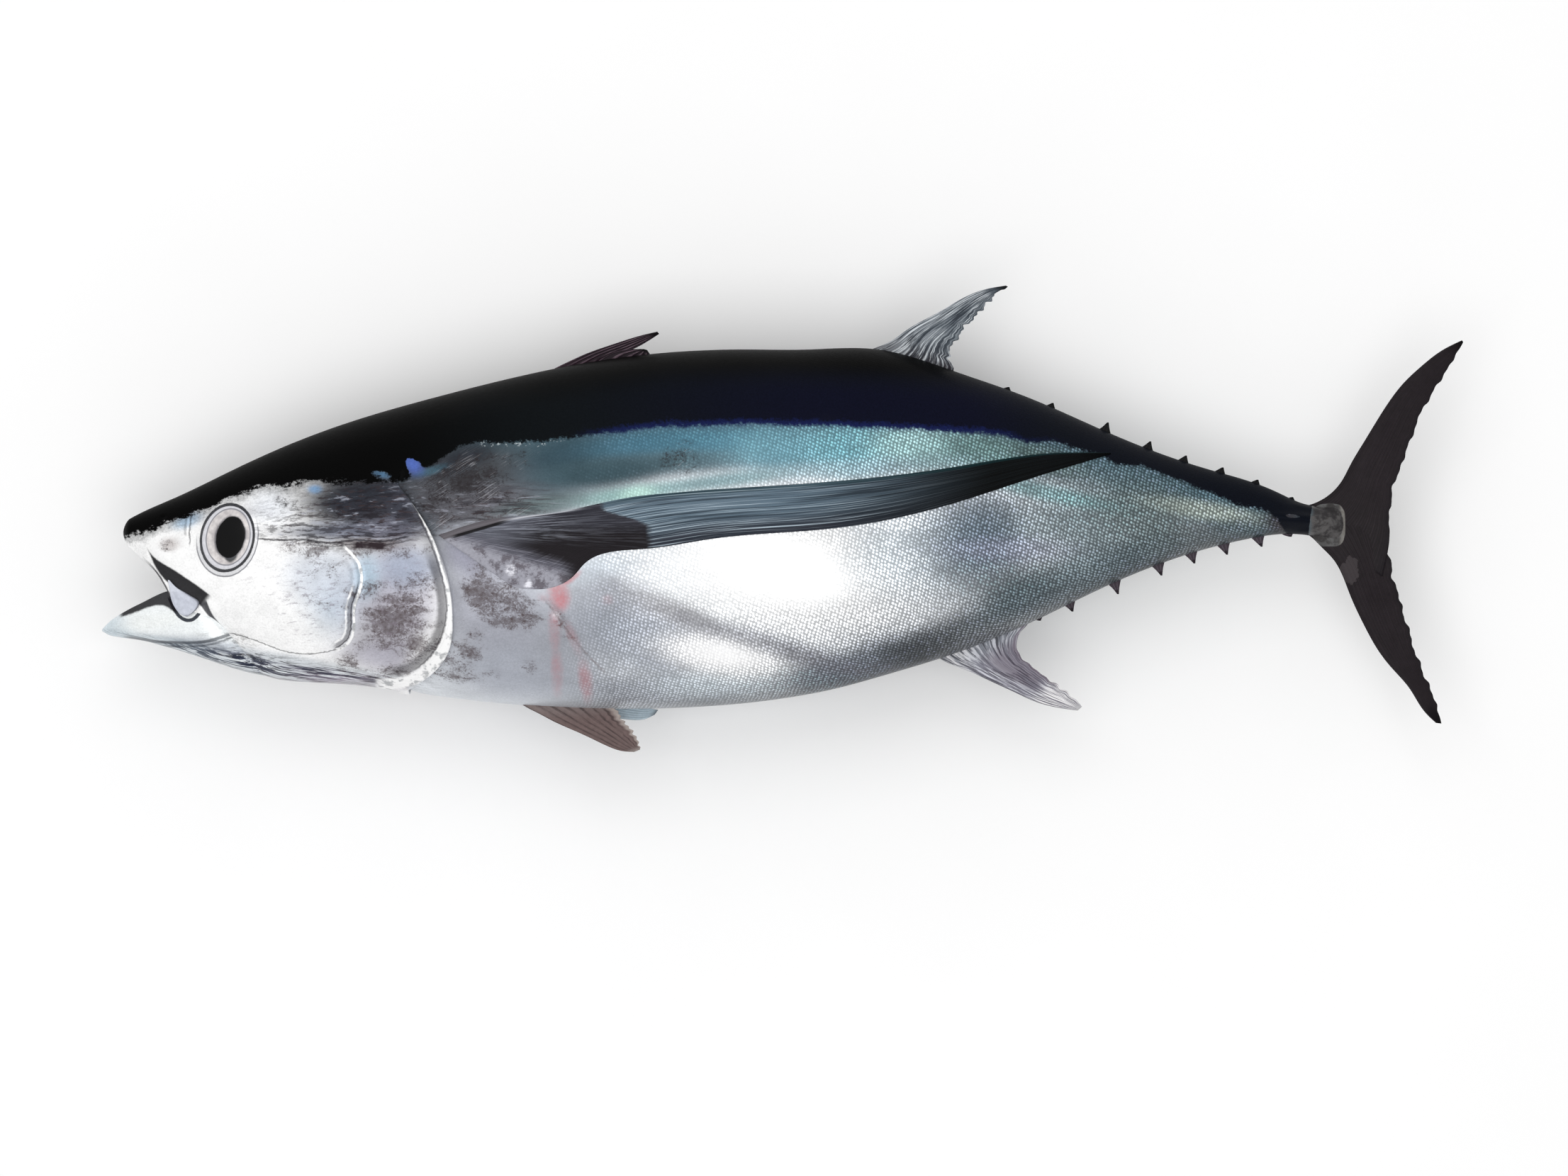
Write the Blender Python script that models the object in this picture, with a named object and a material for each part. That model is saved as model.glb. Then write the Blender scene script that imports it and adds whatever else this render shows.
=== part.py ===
"""A whole raw long-finned tuna, lying on its right side on a flat surface.

+X runs from the head to the tail, +Y towards the back and +Z up, out of the left flank. The fish is one
solid: trunk, head, lower jaw and fins are lofts and blades that one union joins. The eyes are solids of
their own, each in a socket. Shapes are laid out from the tip of the lower jaw (x), from the long axis of
the body (y) and from its middle plane (z), and the finished fish is then moved onto its resting face.
"""

import math

import bmesh
import bpy
import numpy as np

# Driving dimensions, in metres.
LENGTH = 0.960  # tip of the lower jaw to the tips of the tail
DEPTH = 0.250  # back to belly, without the fins
WIDTH = 0.156  # flank to flank, without the long fins
FLAT = 0.0030  # how far the resting flank is pressed flat
EYE_GAP = 0.0003  # clearance round an eye in its socket

# Outlines of the trunk: x as a share of LENGTH, height as a share of DEPTH.
BACK = (
    (0.0156, 0.030), (0.0250, 0.050), (0.0521, 0.097), (0.1021, 0.189), (0.1646, 0.290),
    (0.2479, 0.386), (0.3344, 0.465), (0.4250, 0.512), (0.4688, 0.518), (0.5208, 0.518), (0.5677, 0.519),
    (0.6281, 0.454), (0.6781, 0.386), (0.7500, 0.266), (0.8146, 0.178), (0.8625, 0.117),
    (0.8854, 0.080), (0.9146, 0.090),
)  # fmt: skip
BELLY = (
    (0.0156, -0.024), (0.0250, -0.054), (0.0313, -0.076), (0.0417, -0.116), (0.0500, -0.168),
    (0.0656, -0.264), (0.0938, -0.346), (0.1198, -0.402), (0.1438, -0.419), (0.1854, -0.428),
    (0.2271, -0.449), (0.3104, -0.486), (0.4063, -0.495), (0.4479, -0.488), (0.4771, -0.478),
    (0.5396, -0.438), (0.5813, -0.394), (0.6188, -0.350), (0.6771, -0.262), (0.7333, -0.158),
    (0.7906, -0.069), (0.8427, -0.016), (0.8854, -0.006), (0.9146, -0.040),
)  # fmt: skip
# Half the trunk's width as a share of WIDTH, and the height of its widest level as a share of DEPTH.
HALF_WIDTH = (
    (0.0156, 0.045), (0.0313, 0.112), (0.0573, 0.184), (0.0948, 0.265), (0.1458, 0.352),
    (0.2083, 0.425), (0.2813, 0.472), (0.3646, 0.496), (0.4375, 0.500), (0.5208, 0.482),
    (0.6042, 0.426), (0.6875, 0.334), (0.7604, 0.236), (0.8229, 0.158), (0.8646, 0.124),
    (0.8854, 0.112), (0.9146, 0.040),
)  # fmt: skip
WIDEST_LEVEL = (
    (0.0156, 0.000), (0.0948, -0.040), (0.2083, -0.040), (0.4167, 0.020), (0.6250, 0.040),
    (0.8333, 0.048), (0.8854, 0.034), (0.9146, 0.024),
)  # fmt: skip
# Roundness of the sections above and below that level: 2 is an ellipse, more is boxier, less is keeled.
UPPER_ROUND = ((0.0156, 2.00), (0.2500, 2.05), (0.6250, 2.10), (0.8125, 1.70), (0.9146, 1.50))
LOWER_ROUND = ((0.0156, 2.00), (0.1042, 2.40), (0.3125, 2.20), (0.6250, 2.05), (0.8125, 1.70), (0.9146, 1.50))

# The lower jaw, with the same shares.
JAW_TOP = (
    (0.0000, -0.266), (0.0083, -0.245), (0.0208, -0.217), (0.0318, -0.196), (0.0391, -0.182),
    (0.0500, -0.166), (0.0729, -0.176), (0.1042, -0.248), (0.1354, -0.320),
)  # fmt: skip
JAW_UNDER = (
    (0.0000, -0.284), (0.0104, -0.293), (0.0313, -0.306), (0.0573, -0.332), (0.0813, -0.362),
    (0.1021, -0.388), (0.1354, -0.412),
)  # fmt: skip
JAW_HALF_WIDTH = (
    (0.0000, 0.030), (0.0156, 0.080), (0.0313, 0.116), (0.0573, 0.160), (0.0885, 0.200),
    (0.1042, 0.170), (0.1354, 0.070),
)  # fmt: skip
JAW_ROUND = 2.3

# The open mouth is an arch in the palate and a trough in the lower jaw, which end at MOUTH_END.
LIP_SHARE = 0.80  # where the lip lies between back and belly, as a share of the half section
LIP_WIDTH = 0.78  # distance between the lips as a share of the width there
MOUTH_ARCH = 0.105  # height of the arch as a share of DEPTH
MOUTH_DEEPEST, MOUTH_END = 0.050, 0.086  # shares of LENGTH
SNOUT_ROUNDING, JAW_ROUNDING = 0.0050, 0.0070  # shares of LENGTH over which a tip is rounded off

# The gill cover: its rear edge bows back to GILL_X at the height GILL_LEVEL.
GILL_X, GILL_LEVEL = 0.2599, -0.240
GILL_TOP, GILL_TOP_BACK, GILL_TOP_POWER = 0.128, 0.0391, 2.1
GILL_FOOT, GILL_FOOT_BACK, GILL_FOOT_POWER = -0.436, 0.0340, 3.0
GILL_STEP, GILL_RIM, GILL_GROOVE = 0.0016, 0.0009, 0.0008  # heights in metres
GILL_WARP_FROM, GILL_WARP_TO = 0.12, 0.36  # stations bend with the edge between these shares of LENGTH
# The cheek's rear edge, in front of it.
CHEEK_X, CHEEK_LEVEL, CHEEK_REACH, CHEEK_BACK, CHEEK_RIDGE = 0.1938, -0.160, 0.190, 0.0160, 0.0010

# Stations along the trunk as (share of LENGTH, number of steps up to it).
TRUNK_STATIONS = (
    (0.0156, 0), (0.0230, 3), (0.0500, 5), (0.1200, 8), (0.2480, 12), (0.2568, 2), (0.2585, 1),
    (0.2610, 1), (0.2650, 1), (0.3400, 6), (0.6800, 16), (0.8900, 12), (0.9060, 2), (0.9146, 2),
)  # fmt: skip
JAW_STATIONS = ((0.0000, 0), (0.0100, 4), (0.1354, 14))
TRUNK_SIDES, JAW_SIDES = 40, 28

# An eye is an oval lens: centre, half length and half height, and the lean of its long axis.
EYE_X, EYE_Y = 0.0948, -0.014
EYE_HALF_LENGTH, EYE_HALF_HEIGHT, EYE_LEAN = 0.0187, 0.0235, math.radians(12)
EYE_BULGE, EYE_SEAT = 0.0030, 0.0110  # metres above and below the skin
EYE_RINGS, EYE_SPOKES = 5, 24

# Fins, as points (share of LENGTH, share of LENGTH) on their front and rear edges, from root to tip.
TAIL_UPPER = (
    ((0.8625, 0.0180), (0.8901, 0.0217), (0.9052, 0.0313), (0.9115, 0.0393), (0.9167, 0.0492),
     (0.9270, 0.0668), (0.9432, 0.0930), (0.9560, 0.1100), (0.9693, 0.1226), (0.9849, 0.1345),
     (0.9990, 0.1416)),
    ((0.9406, -0.0320), (0.9455, -0.0070), (0.9469, 0.0167), (0.9484, 0.0297), (0.9542, 0.0474),
     (0.9625, 0.0693), (0.9700, 0.0880), (0.9802, 0.1050), (0.9911, 0.1225), (1.0000, 0.1402)),
)  # fmt: skip
TAIL_LOWER = (
    ((0.8625, 0.0000), (0.8859, -0.0012), (0.8948, -0.0092), (0.9047, -0.0195), (0.9167, -0.0450),
     (0.9286, -0.0705), (0.9365, -0.0846), (0.9474, -0.0990), (0.9604, -0.1140), (0.9714, -0.1310),
     (0.9800, -0.1395)),
    ((0.9406, 0.0300), (0.9448, 0.0000), (0.9462, -0.0140), (0.9500, -0.0340), (0.9542, -0.0490),
     (0.9612, -0.0720), (0.9705, -0.0985), (0.9805, -0.1222), (0.9840, -0.1400)),
)  # fmt: skip
SECOND_DORSAL = (
    ((0.5560, 0.1200), (0.5640, 0.1340), (0.5719, 0.1375), (0.5800, 0.1413), (0.5900, 0.1484),
     (0.6150, 0.1625), (0.6400, 0.1762), (0.6560, 0.1806), (0.6640, 0.1818)),
    ((0.6200, 0.1040), (0.6265, 0.1210), (0.6240, 0.1320), (0.6300, 0.1430), (0.6430, 0.1584),
     (0.6560, 0.1722), (0.6655, 0.1810)),
)  # fmt: skip
FIRST_DORSAL_SPINES = (
    ((0.3180, 0.1120), (0.3330, 0.1212), (0.3420, 0.1256), (0.3550, 0.1315), (0.3750, 0.1386),
     (0.3950, 0.1449), (0.4080, 0.1480)),
    ((0.3700, 0.1130), (0.3720, 0.1240), (0.3790, 0.1300), (0.3900, 0.1350), (0.4020, 0.1415),
     (0.4093, 0.1463)),
)  # fmt: skip
FIRST_DORSAL_WEB = (
    ((0.3500, 0.1080), (0.3620, 0.1250), (0.3780, 0.1335), (0.3980, 0.1352)),
    ((0.4080, 0.1080), (0.4045, 0.1260), (0.4030, 0.1305), (0.4005, 0.1345)),
)  # fmt: skip
ANAL = (
    ((0.6060, -0.0850), (0.6182, -0.0938), (0.6365, -0.1014), (0.6536, -0.1092), (0.6714, -0.1174),
     (0.6839, -0.1232), (0.6969, -0.1272), (0.7167, -0.1304)),
    ((0.6870, -0.0560), (0.6785, -0.0688), (0.6735, -0.0760), (0.6729, -0.0820), (0.6755, -0.0892),
     (0.6839, -0.0970), (0.6969, -0.1074), (0.7125, -0.1188), (0.7200, -0.1275)),
)  # fmt: skip
LEFT_PELVIC = (
    ((0.3000, -0.1180), (0.3094, -0.1262), (0.3198, -0.1318), (0.3328, -0.1386), (0.3500, -0.1462),
     (0.3672, -0.1543), (0.3828, -0.1600), (0.3910, -0.1606)),
    ((0.3720, -0.1180), (0.3790, -0.1290), (0.3854, -0.1380), (0.3932, -0.1479), (0.3965, -0.1545),
     (0.3952, -0.1590)),
)  # fmt: skip
RIGHT_PELVIC = (
    ((0.3350, -0.1180), (0.3500, -0.1270), (0.3700, -0.1345), (0.3850, -0.1370), (0.3995, -0.1366),
     (0.4060, -0.1335)),
    ((0.3700, -0.1140), (0.3780, -0.1220), (0.3900, -0.1270), (0.4000, -0.1285), (0.4085, -0.1300)),
)  # fmt: skip
PECTORAL = (
    ((0.2500, -0.0020), (0.2690, 0.0050), (0.2950, 0.0110), (0.3320, 0.0140), (0.3700, 0.0220),
     (0.4470, 0.0310), (0.5380, 0.0372), (0.6300, 0.0485), (0.6950, 0.0580), (0.7400, 0.0585)),
    ((0.3050, -0.0400), (0.3270, -0.0410), (0.3480, -0.0320), (0.3560, -0.0230), (0.4000, -0.0120),
     (0.4470, -0.0050), (0.5380, 0.0030), (0.6320, 0.0235), (0.6780, 0.0385), (0.7400, 0.0575)),
)  # fmt: skip
MAXILLA = (
    ((0.0480, -0.0335), (0.0510, -0.0450), (0.0550, -0.0560), (0.0610, -0.0635), (0.0680, -0.0640)),
    ((0.0510, -0.0370), (0.0600, -0.0440), (0.0680, -0.0500), (0.0730, -0.0560), (0.0720, -0.0600)),
)
# Half thickness of each blade down its middle, and of every rim, in metres.
TAIL_THICK, DORSAL_THICK, SPINE_THICK, WEB_THICK = 0.0050, 0.0032, 0.0030, 0.0024
ANAL_THICK, PELVIC_THICK, PECTORAL_THICK, MAXILLA_THICK = 0.0032, 0.0022, 0.0030, 0.0022
TIP_THICK_SHARE = 0.35
RIM, FLANK_RIM = 0.0003, 0.0014
PELVIC_APART = 0.0080  # from the middle plane to a pelvic fin's root
PELVIC_SPREAD = 0.14  # how fast the left one leans out towards its tip
PECTORAL_SUNK, MAXILLA_SUNK = 0.0008, 0.0006  # the middle of the blade under the skin

# Finlets: (x of the tip, height of the tip off the body) as shares of LENGTH, from front to back.
UPPER_FINLETS = (
    (0.6660, 0.0022), (0.6985, 0.0036), (0.7390, 0.0073), (0.7702, 0.0062), (0.7964, 0.0050),
    (0.8234, 0.0044), (0.8490, 0.0032), (0.8745, 0.0018),
)  # fmt: skip
LOWER_FINLETS = (
    (0.6890, 0.0018), (0.7130, 0.0068), (0.7464, 0.0097), (0.7784, 0.0090), (0.8026, 0.0082),
    (0.8266, 0.0082), (0.8520, 0.0076), (0.8734, 0.0022),
)  # fmt: skip
FINLET_BASE = 0.0170  # length of a finlet's root as a share of LENGTH
FINLET_ROOT = 0.0060  # how deep the root sits in the body
FINLET_THICK = 0.0016

SKIN_COLOUR, SKIN_ROUGHNESS, SKIN_METALLIC = (0.55, 0.58, 0.62, 1.0), 0.32, 0.55
EYE_COLOUR, EYE_ROUGHNESS, EYE_METALLIC = (0.03, 0.03, 0.035, 1.0), 0.12, 0.0


def spline(knots, across=1.0, up=1.0):
    """A natural cubic spline through the knots, as a function of arrays."""
    x, y = np.array(knots, float).T * np.array([[across], [up]])
    step = np.diff(x)
    slope = np.diff(y) / step
    system, bends = np.eye(len(x)), np.zeros(len(x))
    for i in range(1, len(x) - 1):
        system[i, i - 1 : i + 2] = step[i - 1], 2 * (step[i - 1] + step[i]), step[i]
        bends[i] = 6 * (slope[i] - slope[i - 1])
    second = np.linalg.solve(system, bends)

    def at(t):
        t = np.clip(t, x[0], x[-1])
        i = np.clip(np.searchsorted(x, t) - 1, 0, len(x) - 2)
        low, high = (x[i + 1] - t) / step[i], (t - x[i]) / step[i]
        bend = (low**3 - low) * second[i] + (high**3 - high) * second[i + 1]
        return low * y[i] + high * y[i + 1] + bend * step[i] ** 2 / 6

    return at


def edge(points, across=LENGTH, up=LENGTH):
    """A fin's edge as a function of the share of its length, from root to tip."""
    points = np.array(points, float) * (across, up)
    along = np.concatenate([[0], np.cumsum(np.linalg.norm(np.diff(points, axis=0), axis=1))])
    share = along / along[-1]
    x, y = (spline(np.stack([share, points[:, k]], axis=1)) for k in (0, 1))
    return lambda t: np.stack([x(t), y(t)], axis=-1)


def smoothstep(value, low, high):
    t = np.clip((value - low) / (high - low), 0, 1)
    return t * t * (3 - 2 * t)


back, belly = spline(BACK, LENGTH, DEPTH), spline(BELLY, LENGTH, DEPTH)
half_width, level = spline(HALF_WIDTH, LENGTH, WIDTH), spline(WIDEST_LEVEL, LENGTH, DEPTH)
upper_round, lower_round = spline(UPPER_ROUND, LENGTH), spline(LOWER_ROUND, LENGTH)
jaw_top, jaw_under = spline(JAW_TOP, LENGTH, DEPTH), spline(JAW_UNDER, LENGTH, DEPTH)
jaw_half_width = spline(JAW_HALF_WIDTH, LENGTH, WIDTH)


def tip_share(x, start, reach):
    """0 at a rounded tip, 1 from reach behind it."""
    t = np.clip((x - start) / reach, 0, 1)
    return np.sqrt(1 - (1 - t) ** 2)


def mouth_share(x):
    """How open a section is: 1 in the mouth, 0 behind it."""
    return 1 - smoothstep(x, MOUTH_DEEPEST * LENGTH, MOUTH_END * LENGTH)


def half_section(q, high, middle, low, wide, upper, lower, opened):
    """(height, half width) round a section, at shares q from its top (0) to its bottom (1).

    Where opened is 1 the bottom is an arch between two lips, which lie at LIP_SHARE of the way round.
    """
    turn = np.pi * q
    over, side = np.abs(np.cos(turn)), np.abs(np.sin(turn))
    power = np.where(q < 0.5, 2 / upper, 2 / lower)
    reach = np.where(q < 0.5, high - middle, middle - low)
    height = middle + np.sign(np.cos(turn)) * reach * over**power
    width = wide * side**power
    down = np.clip((q - 0.5) / (LIP_SHARE - 0.5), 0, 1) * np.pi / 2
    inward = np.clip((q - LIP_SHARE) / (1 - LIP_SHARE), 0, 1) * np.pi / 2
    lip = LIP_WIDTH * wide
    arch = MOUTH_ARCH * DEPTH * wide / (WIDTH * 0.2)
    open_height = middle - (middle - low) * np.sin(down) ** (2 / lower) + arch * np.sin(inward)
    open_width = (lip + (wide - lip) * np.cos(down) ** (2 / lower)) * np.cos(inward)
    opened = np.where(q > 0.5, opened, 0)
    return height + opened * (open_height - height), width + opened * (open_width - width)


def gill_edge(y):
    """The x of the gill cover's rear edge at a height."""
    above = np.clip((y - GILL_LEVEL * DEPTH) / ((GILL_TOP - GILL_LEVEL) * DEPTH), 0, 1)
    below = np.clip((y - GILL_LEVEL * DEPTH) / ((GILL_FOOT - GILL_LEVEL) * DEPTH), 0, 1)
    bow = GILL_TOP_BACK * above**GILL_TOP_POWER + GILL_FOOT_BACK * below**GILL_FOOT_POWER
    return (GILL_X - bow) * LENGTH


def cheek_edge(y):
    """The x of the cheek's rear edge at a height."""
    t = (y - CHEEK_LEVEL * DEPTH) / (CHEEK_REACH * DEPTH)
    return (CHEEK_X - CHEEK_BACK * t**2) * LENGTH


def relief(x, y):
    """How far the skin of the head stands out over the plain section."""
    ahead = gill_edge(y) - x
    cover = GILL_STEP * smoothstep(ahead, 0, 0.0015) * (1 - smoothstep(ahead, 0.012, 0.075))
    rim = GILL_RIM * np.exp(-(((ahead - 0.0025) / 0.0025) ** 2))
    groove = GILL_GROOVE * np.exp(-(((ahead + 0.0020) / 0.0020) ** 2))
    on_cheek = 1 - smoothstep(np.abs(y - CHEEK_LEVEL * DEPTH), 0.035, 0.048)
    ridge = CHEEK_RIDGE * on_cheek * np.exp(-(((x - cheek_edge(y)) / 0.0030) ** 2))
    on_side = 1 - smoothstep(y, (GILL_TOP - 0.02) * DEPTH, (GILL_TOP + 0.06) * DEPTH)
    return (cover + rim - groove) * on_side + ridge


def trunk_ring(station, q):
    """(x, y, z) round the left half of the trunk at a station, at shares q from back to belly."""
    bend = smoothstep(station, GILL_WARP_FROM * LENGTH, GILL_X * LENGTH)
    bend = bend * (1 - smoothstep(station, GILL_X * LENGTH, GILL_WARP_TO * LENGTH))
    x = np.full_like(q, station)
    for _ in range(6):
        tip = tip_share(x, TRUNK_STATIONS[0][0] * LENGTH, SNOUT_ROUNDING * LENGTH)
        middle = level(x)
        high, low = (middle + (end(x) - middle) * tip for end in (back, belly))
        y, z = half_section(
            q, high, middle, low, half_width(x) * tip, upper_round(x), lower_round(x), mouth_share(x)
        )
        x = station + bend * (gill_edge(y) - GILL_X * LENGTH)
    out = np.stack([(y - middle) / (back(x) - belly(x)) ** 2, z / (2 * half_width(x)) ** 2], axis=-1)
    out /= np.maximum(np.linalg.norm(out, axis=-1, keepdims=True), 1e-9)
    rise = relief(x, y) * np.sqrt(np.abs(np.sin(np.pi * q)))
    return np.stack([x, y + rise * out[:, 0], z + rise * out[:, 1]], axis=-1)


def jaw_ring(station, q):
    """(x, y, z) round the left half of the lower jaw, at shares q from its underside to its top."""
    tip = tip_share(station, 0, JAW_ROUNDING * LENGTH)
    x = np.full_like(q, station)
    middle = (jaw_top(x) + jaw_under(x)) / 2
    high, low = (middle + (end(x) - middle) * tip for end in (jaw_under, jaw_top))
    wide = jaw_half_width(x) * tip
    y, z = half_section(q, -high, -middle, -low, wide, JAW_ROUND, JAW_ROUND, mouth_share(x))
    return np.stack([x, -y, z], axis=-1)


def skin_height(x, y):
    """How far the trunk's left flank stands from the middle plane at (x, y)."""
    middle = level(x)
    above = y > middle
    reach = np.where(above, back(x) - middle, middle - belly(x))
    power = np.where(above, upper_round(x), lower_round(x))
    share = np.clip(np.abs(y - middle) / reach, 0, 0.995)
    return half_width(x) * (1 - share**power) ** (1 / power) + relief(x, y)


def stations(steps):
    """Every station of a loft, in metres, from (share of LENGTH, number of steps up to it)."""
    found = [steps[0][0]]
    for share, count in steps[1:]:
        found += list(np.linspace(found[-1], share, count + 1)[1:])
    return np.array(found) * LENGTH


def mesh_object(name, points, faces):
    """A mesh object in the scene, with its faces turned outwards."""
    mesh = bpy.data.meshes.new(name)
    mesh.from_pydata([tuple(p) for p in points], [], faces)
    work = bmesh.new()
    work.from_mesh(mesh)
    bmesh.ops.recalc_face_normals(work, faces=work.faces)
    if work.calc_volume(signed=True) < 0:
        bmesh.ops.reverse_faces(work, faces=work.faces)
    work.to_mesh(mesh)
    work.free()
    made = bpy.data.objects.new(name, mesh)
    bpy.context.scene.collection.objects.link(made)
    return made


def loft(name, half_ring, places, sides):
    """A closed loft through whole rings, each a left half and its mirror image, with fans at the ends."""
    q = np.linspace(0, 1, sides // 2 + 1)
    rings = []
    for place in places:
        left = half_ring(place, q)
        left[[0, -1], 2] = 0
        right = left[-2:0:-1] * (1, 1, -1)
        rings.append(np.concatenate([left, right]))
    # The first ring is a point-like tip: its middle stands in for it.
    points = [rings[0].mean(axis=0), *np.concatenate(rings[1:]), rings[-1].mean(axis=0)]
    last, count = len(points) - 1, len(rings) - 1
    faces = []
    for j in range(sides):
        k = (j + 1) % sides
        faces.append((0, 1 + k, 1 + j))
        faces.append((last, last - sides + j, last - sides + k))
        for i in range(count - 1):
            a, b = 1 + i * sides, 1 + (i + 1) * sides
            faces.append((a + j, a + k, b + k, b + j))
    return mesh_object(name, points, faces)


def blade(name, edges, thick, place, rim=RIM, rows=12, columns=5):
    """A closed blade between two edges, thinnest at its rim, set into space by place(x, y, offset)."""
    front, rear = (edge(points) for points in edges)
    down, across = np.linspace(0, 1, rows + 1), np.linspace(0, 1, columns + 1)
    flat = front(down)[:, None] * (1 - across)[:, None] + rear(down)[:, None] * across[:, None]
    lens = np.sqrt(4 * across * (1 - across))[None] * (1 - (1 - TIP_THICK_SHARE) * down)[:, None]
    lens[-1] = 0
    points, count = [], (rows + 1) * (columns + 1)
    for side in (1, -1):
        for spot, share in zip(flat.reshape(-1, 2), lens.flat):
            points.append(place(*spot, side * (rim + (thick - rim) * share)))
    faces = []
    for i in range(rows):
        for j in range(columns):
            a = i * (columns + 1) + j
            ring = (a, a + columns + 1, a + columns + 2, a + 1)
            faces += [ring, tuple(count + k for k in ring[::-1])]
    walk = [i * (columns + 1) for i in range(rows)]
    walk += [rows * (columns + 1) + j for j in range(columns)]
    walk += [i * (columns + 1) + columns for i in range(rows, 0, -1)]
    walk += [j for j in range(columns, 0, -1)]
    for a, b in zip(walk, walk[1:] + walk[:1]):
        faces.append((b, a, count + a, count + b))
    return mesh_object(name, points, faces)


def in_middle(x, y, offset):
    """Places a blade in the fish's middle plane."""
    return x, y, offset


def beside_middle(side, spread):
    """Places a blade beside the middle plane, leaning out below the belly."""
    return lambda x, y, offset: (x, y, side * (PELVIC_APART + spread * max(0, belly(x) - y)) + offset)


def on_flank(side, sunk):
    """Places a blade along a flank, its middle sunk under the skin."""
    return lambda x, y, offset: (x, y, side * (float(skin_height(x, y)) - sunk + offset))


def finlet(name, tip, outline, way):
    """One small swept-back finlet on the back (way 1) or the belly (way -1)."""
    tip_x, rise = tip
    foot = [tip_x - FINLET_BASE * 0.75, tip_x + FINLET_BASE * 0.25]
    root = [float(outline(x * LENGTH)) / LENGTH - way * FINLET_ROOT for x in foot]
    tip_y = float(outline(tip_x * LENGTH)) / LENGTH + way * rise
    front = ((foot[0], root[0]), (foot[0] + FINLET_BASE * 0.45, tip_y - way * rise * 0.55), (tip_x, tip_y))
    rear = ((foot[1], root[1]), (tip_x + FINLET_BASE * 0.06, tip_y - way * rise * 0.50), (tip_x, tip_y))
    front, rear = front[:-1] + ((tip_x - 0.0006, tip_y),), rear[:-1] + ((tip_x + 0.0006, tip_y),)
    return blade(name, (front, rear), FINLET_THICK, in_middle, rows=4, columns=3)


def eye(name, side, grow):
    """An oval lens on the skin of one side, made larger all round by grow for its socket."""
    centre = np.array([EYE_X * LENGTH, EYE_Y * DEPTH])
    turn = np.array([[math.cos(EYE_LEAN), math.sin(EYE_LEAN)], [-math.sin(EYE_LEAN), math.cos(EYE_LEAN)]])
    reach = np.array([EYE_HALF_LENGTH, EYE_HALF_HEIGHT]) + grow
    angles = np.linspace(0, 2 * math.pi, EYE_SPOKES, endpoint=False)

    def at(radius, angle, top):
        x, y = centre + turn @ (reach * radius * (math.cos(angle), math.sin(angle)))
        dome = (EYE_BULGE if top else -EYE_SEAT) + math.copysign(grow, top - 0.5)
        return x, y, side * (float(skin_height(x, y)) + dome * math.sqrt(max(0, 1 - radius**2)))

    radii = np.sin(np.linspace(0, math.pi / 2, EYE_RINGS + 1))[1:]
    points = [at(r, a, True) for r in radii for a in angles]
    points += [at(r, a, False) for r in radii[:-1] for a in angles]
    points += [at(0, 0, True), at(0, 0, False)]
    rings = [[i * EYE_SPOKES + j for j in range(EYE_SPOKES)] for i in range(2 * EYE_RINGS - 1)]
    upper = rings[:EYE_RINGS]
    lower = rings[EYE_RINGS:] + [upper[-1]]
    faces = []
    for stack, middle in ((upper, len(points) - 2), (lower, len(points) - 1)):
        for j in range(EYE_SPOKES):
            k = (j + 1) % EYE_SPOKES
            faces.append((middle, stack[0][j], stack[0][k]))
            faces += [(a[j], b[j], b[k], a[k]) for a, b in zip(stack, stack[1:])]
    return mesh_object(name, points, faces)


def boolean(target, others, operation):
    """Joins the others to the target or cuts them from it, applies that, and removes the others."""
    group = bpy.data.collections.new("joined")
    for other in others:
        group.objects.link(other)
    modifier = target.modifiers.new(operation, "BOOLEAN")
    modifier.operation, modifier.solver = operation, "EXACT"
    modifier.operand_type, modifier.collection = "COLLECTION", group
    graph = bpy.context.evaluated_depsgraph_get()
    mesh = bpy.data.meshes.new_from_object(target.evaluated_get(graph))
    target.modifiers.clear()
    target.data = mesh
    for other in others:
        bpy.data.objects.remove(other)
    bpy.data.collections.remove(group)


def press_flat(fish, floor):
    """Cuts the fish off at the height floor and closes the cut with one flat face."""
    work = bmesh.new()
    work.from_mesh(fish.data)
    geometry = work.verts[:] + work.edges[:] + work.faces[:]
    cut = bmesh.ops.bisect_plane(
        work, geom=geometry, dist=1e-6, plane_co=(0, 0, floor), plane_no=(0, 0, 1), clear_inner=True
    )
    rim = [item for item in cut["geom_cut"] if isinstance(item, bmesh.types.BMEdge)]
    bmesh.ops.holes_fill(work, edges=rim)
    bmesh.ops.recalc_face_normals(work, faces=work.faces[:])
    work.to_mesh(fish.data)
    work.free()


def finish_material(name, colour, roughness, metallic, *objects):
    """Gives the objects a material of their own and rounded shading."""
    material = bpy.data.materials.new(name)
    material.use_nodes = True
    shader = material.node_tree.nodes["Principled BSDF"]
    shader.inputs["Base Color"].default_value = colour
    shader.inputs["Roughness"].default_value = roughness
    shader.inputs["Metallic"].default_value = metallic
    for item in objects:
        item.data.materials.clear()
        item.data.materials.append(material)
        item.data.shade_smooth()
        item.data.set_sharp_from_angle(angle=math.radians(40))


def centre_on_base(objects):
    """Moves everything so that the whole fish's box stands centred on the origin."""
    corners = np.array([v.co for item in objects for v in item.data.vertices])
    low, high = corners.min(axis=0), corners.max(axis=0)
    shift = -np.array([(low[0] + high[0]) / 2, (low[1] + high[1]) / 2, low[2]])
    for item in objects:
        item.location = shift


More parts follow.
